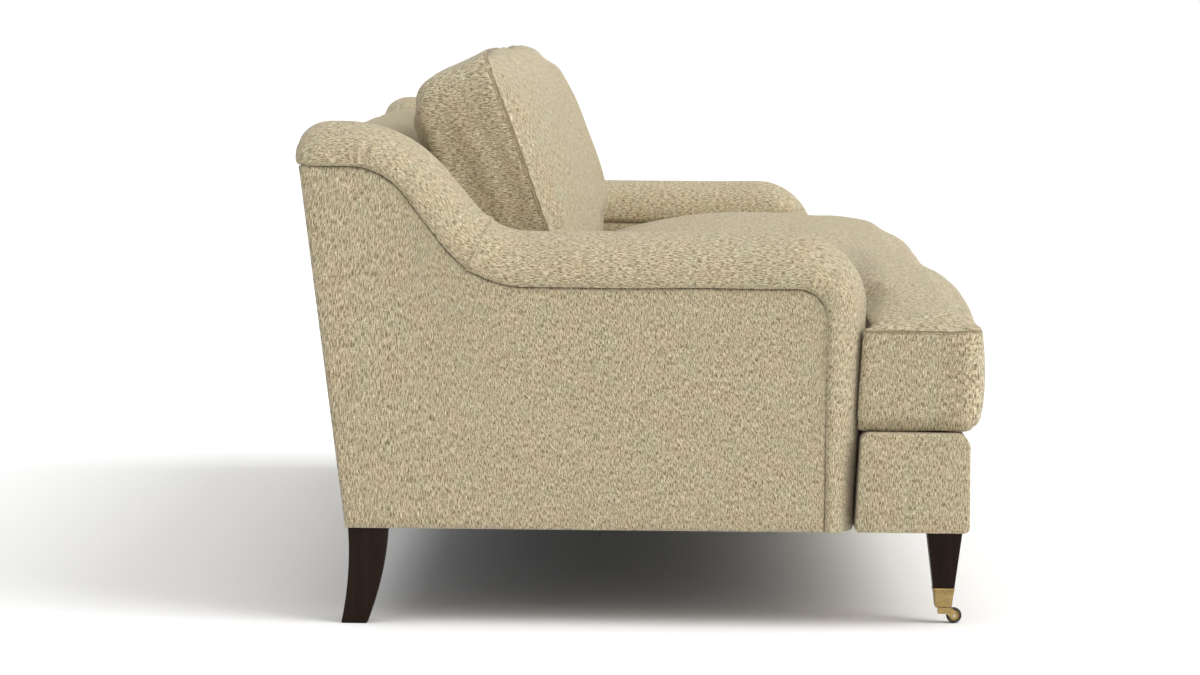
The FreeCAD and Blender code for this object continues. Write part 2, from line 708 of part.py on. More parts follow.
def seat_webbing_cross():
    """Bands from side to side, over the long ones."""
    front = INNER_RAIL_REAR_Y + WEB_WIDTH
    span = SEAT_BACK_RAIL_Y - WEB_WIDTH - front
    reach = SIDE_RAIL_OUT_X
    bands = []
    for index in range(WEB_CROSS_COUNT):
        y = front + span * index / (WEB_CROSS_COUNT - 1)
        bands.append(box(-reach, reach, y - WEB_WIDTH / 2, y + WEB_WIDTH / 2,
                         WEB_Z + WEB_THICK, WEB_Z + 2 * WEB_THICK))
    return Part.makeCompound(bands)


def seat_deck():
    low = DECK_Z - DECK_THICK
    front = band_y(low) - BORDER_GAP + FIT
    arm_front = SEAM_FRONT_Y + FIT
    inner = ROLL_IN_X - FIT
    deck = box(-inner, inner, front, inside_y(low) - FIT, low, DECK_Z)
    under_pads = box(-PAD_OUT_X + FIT, PAD_OUT_X - FIT, arm_front, inside_y(low) - FIT,
                     low, DECK_Z)
    return deck.fuse(under_pads).removeSplitter()


def dust_cover():
    """The thin black cloth under the frame, cut round the legs."""
    top = BASE_Z + DUST_COVER
    border_reach = BORDER_IN_X - FIT
    front = box(-border_reach, border_reach, BORDER_IN_FRONT_Y + FIT, BORDER_IN_REAR_Y - FIT,
                BASE_Z, top)
    middle_reach = ROLL_IN_X - FIT
    rear = rear_y(BASE_Z, BACK_PANEL_THICK + FIT)
    middle = box(-middle_reach, middle_reach, BORDER_IN_REAR_Y - 1, rear, BASE_Z, top)
    arm_reach = PANEL_IN_X - FIT
    arms = box(-arm_reach, arm_reach, SEAM_FRONT_Y + FIT, rear, BASE_Z, top)
    return without_legs(front.fuse([middle, arms]).removeSplitter())


def without_legs(shape):
    """The shape cut round the tops of the four legs, where they stand up into it."""
    half = FRONT_LEG_TOP / 2 + FIT
    front = box(-FRONT_LEG_X - half, -FRONT_LEG_X + half, FRONT_LEG_Y - half,
                FRONT_LEG_Y + half, BASE_Z - 1, LEG_TOP_Z)
    half = REAR_LEG_WIDTH / 2 + FIT
    rear = box(-REAR_LEG_X - half, -REAR_LEG_X + half, REAR_LEG_FRONT_TOP_Y - FIT,
               REAR_LEG_BACK_TOP_Y + FIT, BASE_Z - 1, LEG_TOP_Z)
    return shape.cut([*both_sides(front), *both_sides(rear)])


# Cushions
def rounded_outline(corners, place):
    """A closed wire through corners (a, b, radius, pull), rounded by arcs.

    pull is how far the side after the corner is bowed inwards, and place turns a pair (a, b)
    into a Vector. The corners go round against the clock in (a, b), so that inwards is to the
    left of each side.
    """
    count = len(corners)
    entries = []
    for index, (a, b, radius, _) in enumerate(corners):
        here = Vector(a, b, 0)
        before = (Vector(*corners[index - 1][:2], 0) - here).normalize()
        after = (Vector(*corners[(index + 1) % count][:2], 0) - here).normalize()
        half = before.getAngle(after) / 2
        reach = radius / math.tan(half)
        middle = here + (before + after).normalize() * (radius / math.sin(half) - radius)
        entries.append((here + before * reach, middle, here + after * reach))
    edges = []
    for index, (start, middle, end) in enumerate(entries):
        following = entries[(index + 1) % count][0]
        edges.append(Part.Arc(*[place(p.x, p.y) for p in (start, middle, end)]).toShape())
        along = Vector(following - end).normalize()
        inward = Vector(-along.y, along.x, 0)
        bow = (end + following) / 2 + inward * corners[index][3]
        edges.append(Part.Arc(*[place(p.x, p.y) for p in (end, bow, following)]).toShape())
    return Part.Wire(edges)


SEAT_EAR_X = HALF - SEAT_EAR_INSET
SEAT_SIDE_X = ROLL_IN_X - SEAT_SIDE_GAP
SEAT_MIDDLE_X = SEAT_MIDDLE_GAP / 2
SEAT_REAR_Y = INSIDE_BACK_Y - SEAT_REAR_GAP
SEAT_FOOT_Z = DECK_Z + FIT


def seat_plan():
    """Plan of the left seat cushion: half of a T, with its ear in front of the arm."""
    big = SEAT_CORNER
    small = SEAT_CORNER / 2
    short = SEAT_PULL / 2
    corners = [(-SEAT_EAR_X, SEAT_FRONT_Y, big, SEAT_PULL),
               (-SEAT_MIDDLE_X, SEAT_FRONT_Y, big, SEAT_PULL),
               (-SEAT_MIDDLE_X, SEAT_REAR_Y, small, SEAT_PULL),
               (-SEAT_SIDE_X, SEAT_REAR_Y, small, SEAT_PULL),
               (-SEAT_SIDE_X, SEAT_EAR_BACK_Y, small, short),
               (-SEAT_EAR_X, SEAT_EAR_BACK_Y, big, short)]
    return rounded_outline(corners, lambda x, y: Vector(x, y, 0))


def seat_crown(y):
    """Rise of the crown over the seam: a full curve in front of its top, a parabola behind."""
    if y < SEAT_CROWN_Y:
        share = min((SEAT_CROWN_Y - y) / (SEAT_CROWN_Y - SEAT_FRONT_Y), 1)
        rise = (1 - share ** SEAT_FULLNESS) ** (1 / SEAT_FULLNESS)
    else:
        share = min((y - SEAT_CROWN_Y) / (SEAT_REAR_Y - SEAT_CROWN_Y), 1)
        rise = 1 - share * share
    return max(SEAT_CROWN * rise, CROWN_RIM)


def crown_section(y, left_x):
    """A section across the crown of the left seat cushion, on a chord just below the seam."""
    z = SEAT_SEAM_Z - CROWN_LAP
    left = Vector(-left_x, y, z)
    right = Vector(-SEAT_MIDDLE_X, y, z)
    top = (left + right) / 2 + Vector(0, 0, seat_crown(y) + CROWN_LAP)
    return arc_on_chord(left, top, right)


def seat_crown_solid():
    """The crown of the left seat cushion: full width over the ear, narrower beside the arm."""
    depth = SEAT_EAR_BACK_Y - SEAT_FRONT_Y
    sections = []
    for share in (0.0, 0.04, 0.15, 0.35, 0.6):
        sections.append(crown_section(SEAT_FRONT_Y + depth * share, SEAT_EAR_X))
    sections.append(crown_section(SEAT_FRONT_Y + depth * 0.8, (SEAT_EAR_X + SEAT_SIDE_X) / 2))
    run = SEAT_REAR_Y - SEAT_EAR_BACK_Y
    for share in (0.0, 0.15, 0.32, 0.5, 0.75, 1.0):
        sections.append(crown_section(SEAT_EAR_BACK_Y + run * share, SEAT_SIDE_X))
    return Part.makeLoft(sections, True, True)


def seat_block(low, high):
    """The plan of the left seat cushion, carried from one height to another."""
    plan = Part.Face(seat_plan())
    plan.translate(Vector(0, 0, low))
    return plan.extrude(Vector(0, 0, high - low))


def seat_cushion_body():
    """The left seat cushion, solid: its boxing, its crown and the hollow the back cushion makes."""
    boxing = seat_block(SEAT_FOOT_Z, SEAT_SEAM_Z)
    foot = [edge for edge in boxing.Edges
            if max(vertex.Z for vertex in edge.Vertexes) < SEAT_FOOT_Z + 1]
    boxing = boxing.makeChamfer(SEAT_FOOT_BEVEL, foot)
    top = SEAT_SEAM_Z + 2 * SEAT_CROWN
    crown = seat_crown_solid().common(seat_block(SEAT_SEAM_Z - 2 * CROWN_LAP, top))
    far = SEAT_REAR_Y + BOXING
    hollow = polygon([(REST_FRONT_Y, rest_z(REST_FRONT_Y)), (REST_FRONT_Y, top), (far, top),
                      (far, rest_z(far))], -HALF, 0)
    return boxing.fuse(crown).cut(hollow)


def seat_core(clearance):
    """The foam block inside the seat cushion, or with clearance the room for it."""
    inset = COVER_THICK - clearance
    low = SEAT_FOOT_Z + inset
    high = SEAT_SEAM_Z - CORE_HEADROOM - inset + COVER_THICK
    front = SEAT_FRONT_Y + inset
    ear = box(-SEAT_EAR_X + inset, -SEAT_MIDDLE_X - inset, front, SEAT_EAR_BACK_Y - inset,
              low, high)
    body = box(-SEAT_SIDE_X + inset, -SEAT_MIDDLE_X - inset, front, SEAT_REAR_Y - inset,
               low, high)
    return ear.fuse(body).removeSplitter()


def seat_cushion():
    body = seat_cushion_body()
    return body.cut(seat_core(FIT + SEAT_PULL)), seat_core(SEAT_PULL)


def fullness(share):
    """Rise of a back cushion's crown, from 0 at its ends to 1 in the middle."""
    off = abs(2 * share - 1)
    return (1 - off ** SEAT_FULLNESS) ** (1 / SEAT_FULLNESS)


BACK_CUSHION_FOOT = Vector(0, inside_y(BACK_FOOT_Z, -(BACK_BULGE + FIT)), BACK_FOOT_Z)


def stand_back(shape):
    """Leans an upright shape back and stands it on the back cushion's foot line."""
    leaned = shape.copy()
    leaned.rotate(Vector(0, 0, 0), Vector(1, 0, 0), -BACK_LEAN)
    leaned.translate(BACK_CUSHION_FOOT)
    return leaned


def back_section(z, share):
    """A level section of the upright back cushion, with an arc in front and one behind."""
    left = -SEAT_SIDE_X
    right = -SEAT_MIDDLE_X
    middle = (left + right) / 2
    front = max(BACK_CROWN * fullness(share), CROWN_RIM)
    rear = max(BACK_BULGE * fullness(share), CROWN_RIM)
    return Part.Wire([
        Part.makeLine(Vector(left, 0, z), Vector(left, -BOXING, z)),
        Part.Arc(Vector(left, -BOXING, z), Vector(middle, -BOXING - front, z),
                 Vector(right, -BOXING, z)).toShape(),
        Part.makeLine(Vector(right, -BOXING, z), Vector(right, 0, z)),
        Part.Arc(Vector(right, 0, z), Vector(middle, rear, z), Vector(left, 0, z)).toShape(),
    ])


def back_face():
    """The back cushion's outline from the front, upright: arched top, sides drawn in."""
    left = -SEAT_SIDE_X
    right = -SEAT_MIDDLE_X
    foot_corner = BACK_CORNER / 3
    corners = [(left, -BACK_SKIRT, foot_corner, BACK_PULL),
               (right, -BACK_SKIRT, foot_corner, BACK_PULL),
               (right, BACK_TOP, BACK_CORNER, -BACK_TOP_ARCH),
               (left, BACK_TOP, BACK_CORNER, BACK_PULL)]
    return rounded_outline(corners, lambda x, z: Vector(x, 0, z))


def under_back_cushion(lift):
    """The space below the plane where the back cushion rests, raised by a lift."""
    near = REST_FRONT_Y - 2 * BOXING
    far = SEAT_REAR_Y + 2 * BOXING
    return polygon([(near, rest_z(near, lift)), (far, rest_z(far, lift)), (far, BASE_Z),
                    (near, BASE_Z)], -HALF, 0)


def back_core(clearance):
    """The filling of the left back cushion, or with clearance the room for it."""
    inset = COVER_THICK - clearance
    rest = REST_CLEAR + inset / cos(REST_SLOPE)
    block = box(-SEAT_SIDE_X + inset, -SEAT_MIDDLE_X - inset, -BOXING + inset, -inset,
                -BACK_SKIRT, BACK_TOP - inset - BACK_CORNER / 3)
    return stand_back(block).cut(under_back_cushion(rest))


def back_cushion():
    """The left back cushion's cover and its filling."""
    total = BACK_TOP + BACK_TOP_ARCH + BACK_SKIRT
    sections = []
    for share in (0.0, 0.02, 0.07, 0.16, 0.3, 0.5, 0.7, 0.84, 0.93, 0.98, 1.0):
        sections.append(back_section(-BACK_SKIRT + total * share, share))
    crowned = Part.makeLoft(sections, True, True)
    face = Part.Face(back_face())
    face.translate(Vector(0, 2 * BACK_BULGE, 0))
    block = face.extrude(Vector(0, -(BOXING + 2 * BACK_CROWN + 2 * BACK_BULGE), 0))
    cushion = stand_back(crowned.common(block)).cut(under_back_cushion(REST_CLEAR))
    return cushion.cut(back_core(FIT + BACK_PULL)), back_core(BACK_PULL)


# Legs
def front_leg():
    """A square tapered leg with a tenon for the caster's cup."""
    body = tapered_block(-FRONT_LEG_X, FRONT_LEG_Y, CUP_TOP_Z, LEG_TOP_Z,
                         (CUP_TOP_SIZE, CUP_TOP_SIZE), (FRONT_LEG_TOP, FRONT_LEG_TOP))
    tenon = cup_taper(CUP_BOTTOM_Z + CUP_FLOOR + TENON_GAP, CUP_TOP_Z, CUP_WALL + SNUG)
    leg = body.fuse(tenon)
    return leg.cut(bolt_rod(leg_bolt_places()[0], SNUG))


def rear_leg():
    """A sabre leg: its front edge bows, its rear edge is hollow, and it narrows to the foot."""
    front_y = (REAR_LEG_FRONT_TOP_Y + REAR_LEG_FRONT_FOOT_Y) / 2 - REAR_LEG_BELLY
    back_y = (REAR_LEG_BACK_TOP_Y + REAR_LEG_BACK_FOOT_Y) / 2 - REAR_LEG_HOLLOW
    outline = Outline((REAR_LEG_BACK_FOOT_Y, 0))
    outline.arc((back_y, LEG_TOP_Z / 2), (REAR_LEG_BACK_TOP_Y, LEG_TOP_Z))
    outline.line((REAR_LEG_FRONT_TOP_Y, LEG_TOP_Z))
    outline.arc((front_y, LEG_TOP_Z / 2), (REAR_LEG_FRONT_FOOT_Y, 0))
    side = outline.solid(-HALF, -REAR_LEG_X + REAR_LEG_WIDTH)
    depth = 4 * REAR_LEG_WIDTH
    taper = tapered_block(-REAR_LEG_X, REAR_LEG_FRONT_TOP_Y, 0, LEG_TOP_Z,
                          (REAR_LEG_FOOT_WIDTH, depth), (REAR_LEG_WIDTH, depth))
    return side.common(taper).cut(bolt_rod(leg_bolt_places()[1], SNUG))


# Casters
def cup_taper(low_z, high_z, inset):
    """The taper of the caster's cup between two heights, drawn in by an inset."""
    sizes = []
    for z in (low_z, high_z):
        share = (z - CUP_BOTTOM_Z) / (CUP_TOP_Z - CUP_BOTTOM_Z)
        size = CUP_BOTTOM_SIZE + share * (CUP_TOP_SIZE - CUP_BOTTOM_SIZE) - 2 * inset
        sizes.append((size, size))
    return tapered_block(-FRONT_LEG_X, FRONT_LEG_Y, low_z, high_z, *sizes)


def on_swivel(z):
    return Vector(-FRONT_LEG_X, FRONT_LEG_Y, z)


def caster_cup():
    outside = cup_taper(CUP_BOTTOM_Z, CUP_TOP_Z, 0.0)
    inside = cup_taper(CUP_BOTTOM_Z + CUP_FLOOR, CUP_TOP_Z, CUP_WALL)
    hole = Part.makeCylinder(PIN_R + RUN, 3 * CUP_FLOOR, on_swivel(CUP_BOTTOM_Z - CUP_FLOOR))
    return outside.cut(inside).cut(hole)


def caster_pin():
    """The swivel pin, with its head on the floor of the cup."""
    floor_z = CUP_BOTTOM_Z + CUP_FLOOR
    foot_z = HORN_TOP_Z - HORN_THICK
    shank = Part.makeCylinder(PIN_R, floor_z + RUN - foot_z, on_swivel(foot_z))
    head = Part.makeCylinder(PIN_HEAD_R, PIN_HEAD, on_swivel(floor_z + RUN))
    return shank.fuse(head)


def wheel_rod(radius, half_length):
    """A cylinder on the wheel's axis."""
    return rod(Vector(-FRONT_LEG_X, WHEEL_Y, WHEEL_R), radius, 2 * half_length, Vector(1, 0, 0))


def caster_horn():
    """The horn: a block under the cup that reaches forward as two cheeks to the axle."""
    eye = (WHEEL_Y, WHEEL_R)
    low_z = HORN_TOP_Z - HORN_THICK
    rear = FRONT_LEG_Y + HORN_REAR
    shoulder_y = FRONT_LEG_Y - HORN_SHOULDER
    outline = Outline((rear, low_z))
    outline.line((rear, HORN_TOP_Z))
    outline.line((shoulder_y, HORN_TOP_Z))
    nose = on_circle(eye, HORN_EYE_R, HORN_NOSE)
    brow = (nose[0] + HORN_BROW, HORN_TOP_Z - HORN_BROW / 2)
    outline.arc(brow, nose)
    outline.turn(eye, HORN_EYE_R, HORN_NOSE, HORN_CHIN)
    outline.line((shoulder_y, low_z))
    horn = outline.solid(-FRONT_LEG_X - CHEEK_OUT_X, -FRONT_LEG_X + CHEEK_OUT_X)
    horn = horn.cut(wheel_rod(WHEEL_R + WHEEL_CLEAR, CHEEK_IN_X))
    horn = horn.cut(wheel_rod(AXLE_R, CHEEK_OUT_X + 1))
    pin_hole = Part.makeCylinder(PIN_R, 3 * HORN_THICK, on_swivel(low_z - HORN_THICK))
    return horn.cut(pin_hole)


def caster_axle():
    return wheel_rod(AXLE_R, CHEEK_OUT_X + AXLE_PROUD)


def caster_wheel():
    hub = wheel_rod(WHEEL_R - TYRE_DEPTH, WHEEL_WIDTH / 2)
    return hub.cut(wheel_rod(AXLE_R + RUN, WHEEL_WIDTH))


def caster_tyre():
    tread = wheel_rod(WHEEL_R, WHEEL_WIDTH / 2)
    return tread.cut(wheel_rod(WHEEL_R - TYRE_DEPTH, WHEEL_WIDTH))


# The files
def write(name, shape):
    """One STEP file for a node."""
    if not shape.isValid():
        print("not valid:", name)
    solids = shape.Solids
    if len(solids) == 1:
        shape = solids[0]
    shape.exportStep(os.path.join(OUT, name + ".step"))
    print(f"{name}: {len(solids)} solid(s), {shape.Volume / 1000:.1f} cm3")


SINGLE = {
    "front_rail": front_rail,
    "rail_ends": rail_ends,
    "inner_front_rail": inner_front_rail,
    "side_rails": side_rails,
    "rear_rail": rear_rail,
    "seat_back_rail": seat_back_rail,
    "seat_stretchers": seat_stretchers,
    "corner_blocks": corner_blocks,
    "leg_plates": leg_plates,
    "leg_bolts": leg_bolts,
    "back_ribs": back_ribs,
    "back_top_rail": back_top_rail,
    "back_webbing": back_webbing,
    "seat_webbing_long": seat_webbing_long,
    "seat_webbing_cross": seat_webbing_cross,
    "seat_deck": seat_deck,
    "front_border": front_border,
    "inside_back_pad": inside_back_pad,
    "back_top_roll": back_top_roll,
    "outside_back_panel": outside_back_panel,
    "dust_cover": dust_cover,
    "wing_rolls": wing_rolls,
    "arm_rolls": arm_rolls,
}

IN_PAIRS = {
    "outer_arm_panel": outer_arm_panel,
    "outer_arm_board": outer_arm_board,
    "inner_arm_board": inner_arm_board,
    "inner_arm_pad": inner_arm_pad,
    "arm_spacers": arm_spacers,
    "front_leg": front_leg,
    "rear_leg": rear_leg,
    "caster_cup": caster_cup,
    "caster_pin": caster_pin,
    "caster_horn": caster_horn,
    "caster_axle": caster_axle,
    "caster_wheel": caster_wheel,
    "caster_tyre": caster_tyre,
}

CUSHIONS = {
    "seat_cushion": seat_cushion,
    "back_cushion": back_cushion,
}


def write_pair(name, shape):
    left, right = both_sides(shape)
    write("left_" + name, left)
    write("right_" + name, right)


def main():
    os.makedirs(OUT, exist_ok=True)
    for name, make in SINGLE.items():
        write(name, make())
    for name, make in IN_PAIRS.items():
        write_pair(name, make())
    for name, make in CUSHIONS.items():
        cover, core = make()
        write_pair(name + "_cover", cover)
        write_pair(name + "_core", core)


if __name__ == "__main__":
    main()
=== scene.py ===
import math

import bpy
import numpy as np
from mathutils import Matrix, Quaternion, Vector


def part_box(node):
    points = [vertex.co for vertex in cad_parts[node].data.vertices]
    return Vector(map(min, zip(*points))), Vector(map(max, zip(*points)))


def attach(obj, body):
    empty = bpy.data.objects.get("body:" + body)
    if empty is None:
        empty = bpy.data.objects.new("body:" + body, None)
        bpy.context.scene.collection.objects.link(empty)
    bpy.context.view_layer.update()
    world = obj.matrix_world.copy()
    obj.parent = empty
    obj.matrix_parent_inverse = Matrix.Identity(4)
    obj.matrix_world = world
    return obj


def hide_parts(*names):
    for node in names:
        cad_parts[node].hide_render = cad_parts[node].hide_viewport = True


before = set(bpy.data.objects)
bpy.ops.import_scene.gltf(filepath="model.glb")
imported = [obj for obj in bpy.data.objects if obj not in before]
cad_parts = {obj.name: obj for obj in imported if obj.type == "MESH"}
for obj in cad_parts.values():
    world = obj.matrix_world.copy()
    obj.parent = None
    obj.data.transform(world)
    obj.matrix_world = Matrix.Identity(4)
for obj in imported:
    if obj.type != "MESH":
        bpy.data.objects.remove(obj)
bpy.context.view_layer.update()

bl_info = {
    "name": "Roll Arm Sofa",
    "version": (1, 0, 0),
    "blender": (4, 5, 0),
    "location": "3D View > Sidebar > Sofa",
    "description": "Upholsters the frame of a two-cushion roll arm sofa and sets it on a pale floor",
    "category": "Add Mesh",
}

# Metres. X runs across the sofa, its front faces -Y and Z is up. SLOPE and CROSS_SEAM stay in degrees.
BASE = 0.140                # underside of the upholstery
DECK = 0.284
REAR_FOOT_Y = 0.421         # outside back at the underside
RAKE = math.radians(7.5)
ROLL_MIDDLE = 0.9845
ROLL_HALF = 0.0825
ROLL_INSIDE = ROLL_MIDDLE - ROLL_HALF
PANEL_OUTSIDE = 1.063
PANEL_INSIDE = 0.906
WING_SEAM = 0.662           # heights of the wing roll's seam and crest
WING_CREST = 0.7234
SLOPE = 52.5                # fall of the wing into the arm
CROSS_SEAM = 33.5           # place of the cross seam on that fall
BACK_LEAN = math.radians(20.3)
INSIDE_BACK_Y = 0.183       # inside back at the deck
TOP_ROLL_BASE = 0.655
TOP_ROLL_CREST = (0.455, 0.702)
TOP_ROLL_OVER = 0.712       # a back cushion may lean over the top roll above this
BAND_CREST = (-0.330, 0.4603)
BAND_FOOT_Y = -0.313
BORDER_FRONT = -0.478
SEAT_SEAM = 0.4326
SEAT_FRONT = -0.4977
SEAT_REAR = 0.1814
CUSHION_INSET = 0.0015      # how far a cushion starts inside its outline before it settles
EAR_BACK = -0.335
EAR_SIDE = 1.052
CUSHION_SIDE = 0.899
CUSHION_MIDDLE = 0.0012
CUSHION_CENTRE = -(CUSHION_SIDE + CUSHION_MIDDLE) / 2
CROWN_Y = -0.177
CROWN_POWER = 2.7           # fullness of the seat's front
REST = (0.060, 0.474)       # where the back cushion's rest plane starts
REST_SLOPE = math.radians(14.0)
BOXING = 0.100              # front seam of a back cushion before its foot line
REAR_SEAM = 0.022           # rear seam behind it
BACK_TOP = 0.348
BACK_BELOW = 0.045          # its outline reaches this far below its foot line
BACK_HEIGHT = BACK_TOP + 0.054
BACK_DEEP = 0.0403          # its foot line before the inside back
REAR_ROUND = 0.036          # fall of its top towards the rear seam
BACK_FOOT = 0.460
SEAM_WIDTH = 0.0085
LEG_TOP = 0.1414
FRONT_LEG = (0.981, -0.447)
REAR_LEG_X = 1.027
WHEEL = (-0.463, 0.0113)
CUP_FOOT = 0.0232
CUP_TOP = 0.052
DUST_HALF = 0.938           # half the width of the cloth under the frame
SIDES = (("left", 1.0), ("right", -1.0))
CHENILLE = {"Roughness": 0.92, "Sheen_Weight": 0.25, "Sheen_Roughness": 0.45, "Specular_IOR_Level": 0.15}


def length(name, default, low, high, description):
    """A property that holds a length in metres."""
    return bpy.props.FloatProperty(name=name, description=description, default=default, min=low, max=high,
                                   unit="LENGTH")


def colour(name, default, description):
    """A property that holds a colour."""
    return bpy.props.FloatVectorProperty(name=name, description=description, default=default, size=3,
                                         min=0.0, max=1.0, subtype="COLOR")


class SofaShape(bpy.types.PropertyGroup):
    """Sizes of the upholstery that may be changed."""
    seam_pinch: length("Seam Pinch", 0.0055, 0.0, 0.012, "How far a roll draws in beside its seam")
    pleat_depth: length("Pleat Depth", 0.0045, 0.0, 0.010,
                        "Depth of the pleats at the front of the arm and on the ear")
    panel_puff: length("Panel Puff", 0.003, 0.0, 0.008, "How far the flat panels swell in their middle")
    seat_crown: length("Seat Crown", 0.086, 0.02, 0.1, "Rise of a seat cushion over its seam")
    back_crown: length("Back Crown", 0.066, 0.02, 0.08, "Swell of a back cushion in front of its boxing")
    back_bulge: length("Back Bulge", 0.018, 0.005, 0.05, "Swell of a back cushion behind its boxing")
    cushion_pressure: bpy.props.FloatProperty(
        name="Cushion Pressure", description="Pressure inside the cushions while their covers settle",
        default=4.0, min=0.0, max=10.0)
    cushion_give: length("Cushion Give", 0.022, 0.0, 0.03,
                         "Furthest that a point of a cover may move as it settles")
    voxel: length("Cover Mesh", 0.009, 0.004, 0.02, "Mesh size of a cover while it settles")


class SofaColours(bpy.types.PropertyGroup):
    """Colours of the finishes that may be changed."""
    yarn_warm: colour("Warm Yarn", (0.600, 0.475, 0.295), "Sandy yarn of the covering cloth")
    yarn_cool: colour("Cool Yarn", (0.550, 0.495, 0.310), "Grey-green yarn of the covering cloth")
    yarn_pale: colour("Pale Slub", (0.900, 0.810, 0.610), "Thick pale slubs of the covering cloth")
    # this colour is both the real dark cross yarns and painted shade, between the long yarns and along the
    # seams
    dark_yarn_and_shade: colour("Dark Yarn and Shade", (0.170, 0.132, 0.075), "Shade between the yarns")
    leg_wood: colour("Leg Wood", (0.0150, 0.0072, 0.0042), "Dark stain of the legs")
    timber: colour("Timber", (0.530, 0.345, 0.180), "Plain hardwood of the frame")
    brass: colour("Brass", (0.400, 0.290, 0.120), "Worn brass of the casters")
    lining: colour("Lining", (0.560, 0.490, 0.370), "Plain cotton of the deck")
    floor: colour("Floor", (0.97, 0.97, 0.97), "Pale studio floor")


# Materials
def opaque(value):
    """A colour with its alpha, or a socket as it is."""
    return value if isinstance(value, bpy.types.NodeSocket) else (*value, 1.0)


class Finish:
    """A material and a short way to wire its nodes together."""

    def __init__(self, name):
        self.material = bpy.data.materials.new(name)
        self.material.use_nodes = True
        self.tree = self.material.node_tree
        self.shader = self.tree.nodes["Principled BSDF"]

    def wire(self, source, socket):
        """Links an output to a socket, or sets the socket if the source is a plain value."""
        if isinstance(source, bpy.types.NodeSocket):
            self.tree.links.new(source, socket)
        else:
            socket.default_value = source

    def feed(self, node, **values):
        """Gives inputs of a node their values, with underscores for the spaces of their names."""
        for name, value in values.items():
            self.wire(value, node.inputs[name.replace("_", " ")])
        return node

    def place(self, uv=""):
        """The coordinates of a UV map in metres, or of the object."""
        if uv:
            node = self.tree.nodes.new("ShaderNodeUVMap")
            node.uv_map = uv
            return node.outputs["UV"]
        return self.tree.nodes.new("ShaderNodeTexCoord").outputs["Object"]

    def noise(self, place, scale, detail=2.0, roughness=0.5, warp=0.0):
        node = self.tree.nodes.new("ShaderNodeTexNoise")
        self.feed(node, Vector=place, Scale=scale, Detail=detail, Roughness=roughness, Distortion=warp)
        return node.outputs["Fac"]

    def streaks(self, place, scale, detail=2.0, roughness=0.5, warp=0.0):
        """Noise with its own scale along each axis, which draws it out where the scale is low."""
        node = self.tree.nodes.new("ShaderNodeMapping")
        self.feed(node, Vector=place, Scale=scale)
        return self.noise(node.outputs["Vector"], 1.0, detail, roughness, warp)

    def maths(self, operation, first, second=0.5):
        node = self.tree.nodes.new("ShaderNodeMath")
        node.operation = operation
        self.wire(first, node.inputs[0])
        self.wire(second, node.inputs[1])
        return node.outputs[0]

    def wave(self, value, pitch):
        """A sine along a value that comes round once in each pitch."""
        return self.maths("SINE", self.maths("MULTIPLY", value, 2 * math.pi / pitch))

    def spread(self, value, low, high, start=0.0, end=1.0):
        """The value carried from low..high to start..end, and held there."""
        node = self.tree.nodes.new("ShaderNodeMapRange")
        self.feed(node, Value=value, From_Min=low, From_Max=high, To_Min=start, To_Max=end)
        return node.outputs["Result"]

    def mix(self, share, first, second):
        """Two colours mixed, from the first at share 0 to the second at share 1."""
        node = self.tree.nodes.new("ShaderNodeMix")
        node.data_type = "RGBA"
        self.wire(share, node.inputs["Factor"])
        self.wire(opaque(first), node.inputs[6])
        self.wire(opaque(second), node.inputs[7])
        return node.outputs[2]

    def axis(self, place, letter):
        node = self.tree.nodes.new("ShaderNodeSeparateXYZ")
        self.wire(place, node.inputs[0])
        return node.outputs[letter]

    def raise_by(self, height, distance, strength=1.0):
        node = self.tree.nodes.new("ShaderNodeBump")
        self.feed(node, Distance=distance, Strength=strength, Height=height)
        self.wire(node.outputs["Normal"], self.shader.inputs["Normal"])

    def colour(self, value):
        self.wire(opaque(value), self.shader.inputs["Base Color"])

    def surface(self, **values):
        """Sets inputs of the shader."""
        self.feed(self.shader, **values)


def covering_cloth(colours):
    """Tweedy chenille: slubs along the map's V, short yarns across it, and soft patches.

    Stretched noise gives each yarn a length and a thickness, wide noise turns whole patches from
    the warm yarn to the cool one, and the yarns' heights make the relief. The low places between the
    long yarns are painted dark as shade.
    """
    cloth = Finish("covering_cloth")
    place = cloth.place("weave")
    long_yarn = cloth.streaks(place, (900.0, 150.0, 1.0), 3.0, 0.65, 0.5)
    short_yarn = cloth.streaks(place, (260.0, 1000.0, 1.0), 2.0, 0.55, 0.4)
    slub = cloth.streaks(place, (620.0, 85.0, 1.0), 3.0, 0.6, 0.6)
    patch = cloth.noise(place, 24.0, 3.0, 0.6)
    lean = cloth.spread(slub, 0.3, 0.7, -0.35, 0.35)
    warm_share = cloth.maths("ADD", cloth.spread(patch, 0.36, 0.64), lean)
    ground = cloth.mix(cloth.spread(warm_share, 0.0, 1.0), colours.yarn_cool, colours.yarn_warm)
    # painted shade: the low places between the long yarns are darkened
    shade = cloth.spread(long_yarn, 0.40, 0.52, 1.0, 0.0)
    ground = cloth.mix(shade, ground, colours.dark_yarn_and_shade)
    pale = cloth.maths("MULTIPLY", cloth.spread(slub, 0.44, 0.62), cloth.spread(long_yarn, 0.44, 0.60))
    ground = cloth.mix(cloth.maths("MULTIPLY", pale, 0.8), ground, colours.yarn_pale)
    cross = cloth.spread(short_yarn, 0.50, 0.68, 0.0, 0.55)
    cloth.colour(cloth.mix(cross, ground, colours.dark_yarn_and_shade))
    height = cloth.maths("ADD", long_yarn, cloth.maths("MULTIPLY", short_yarn, 0.6))
    cloth.raise_by(height, 0.0016, 0.9)
    cloth.surface(**CHENILLE)


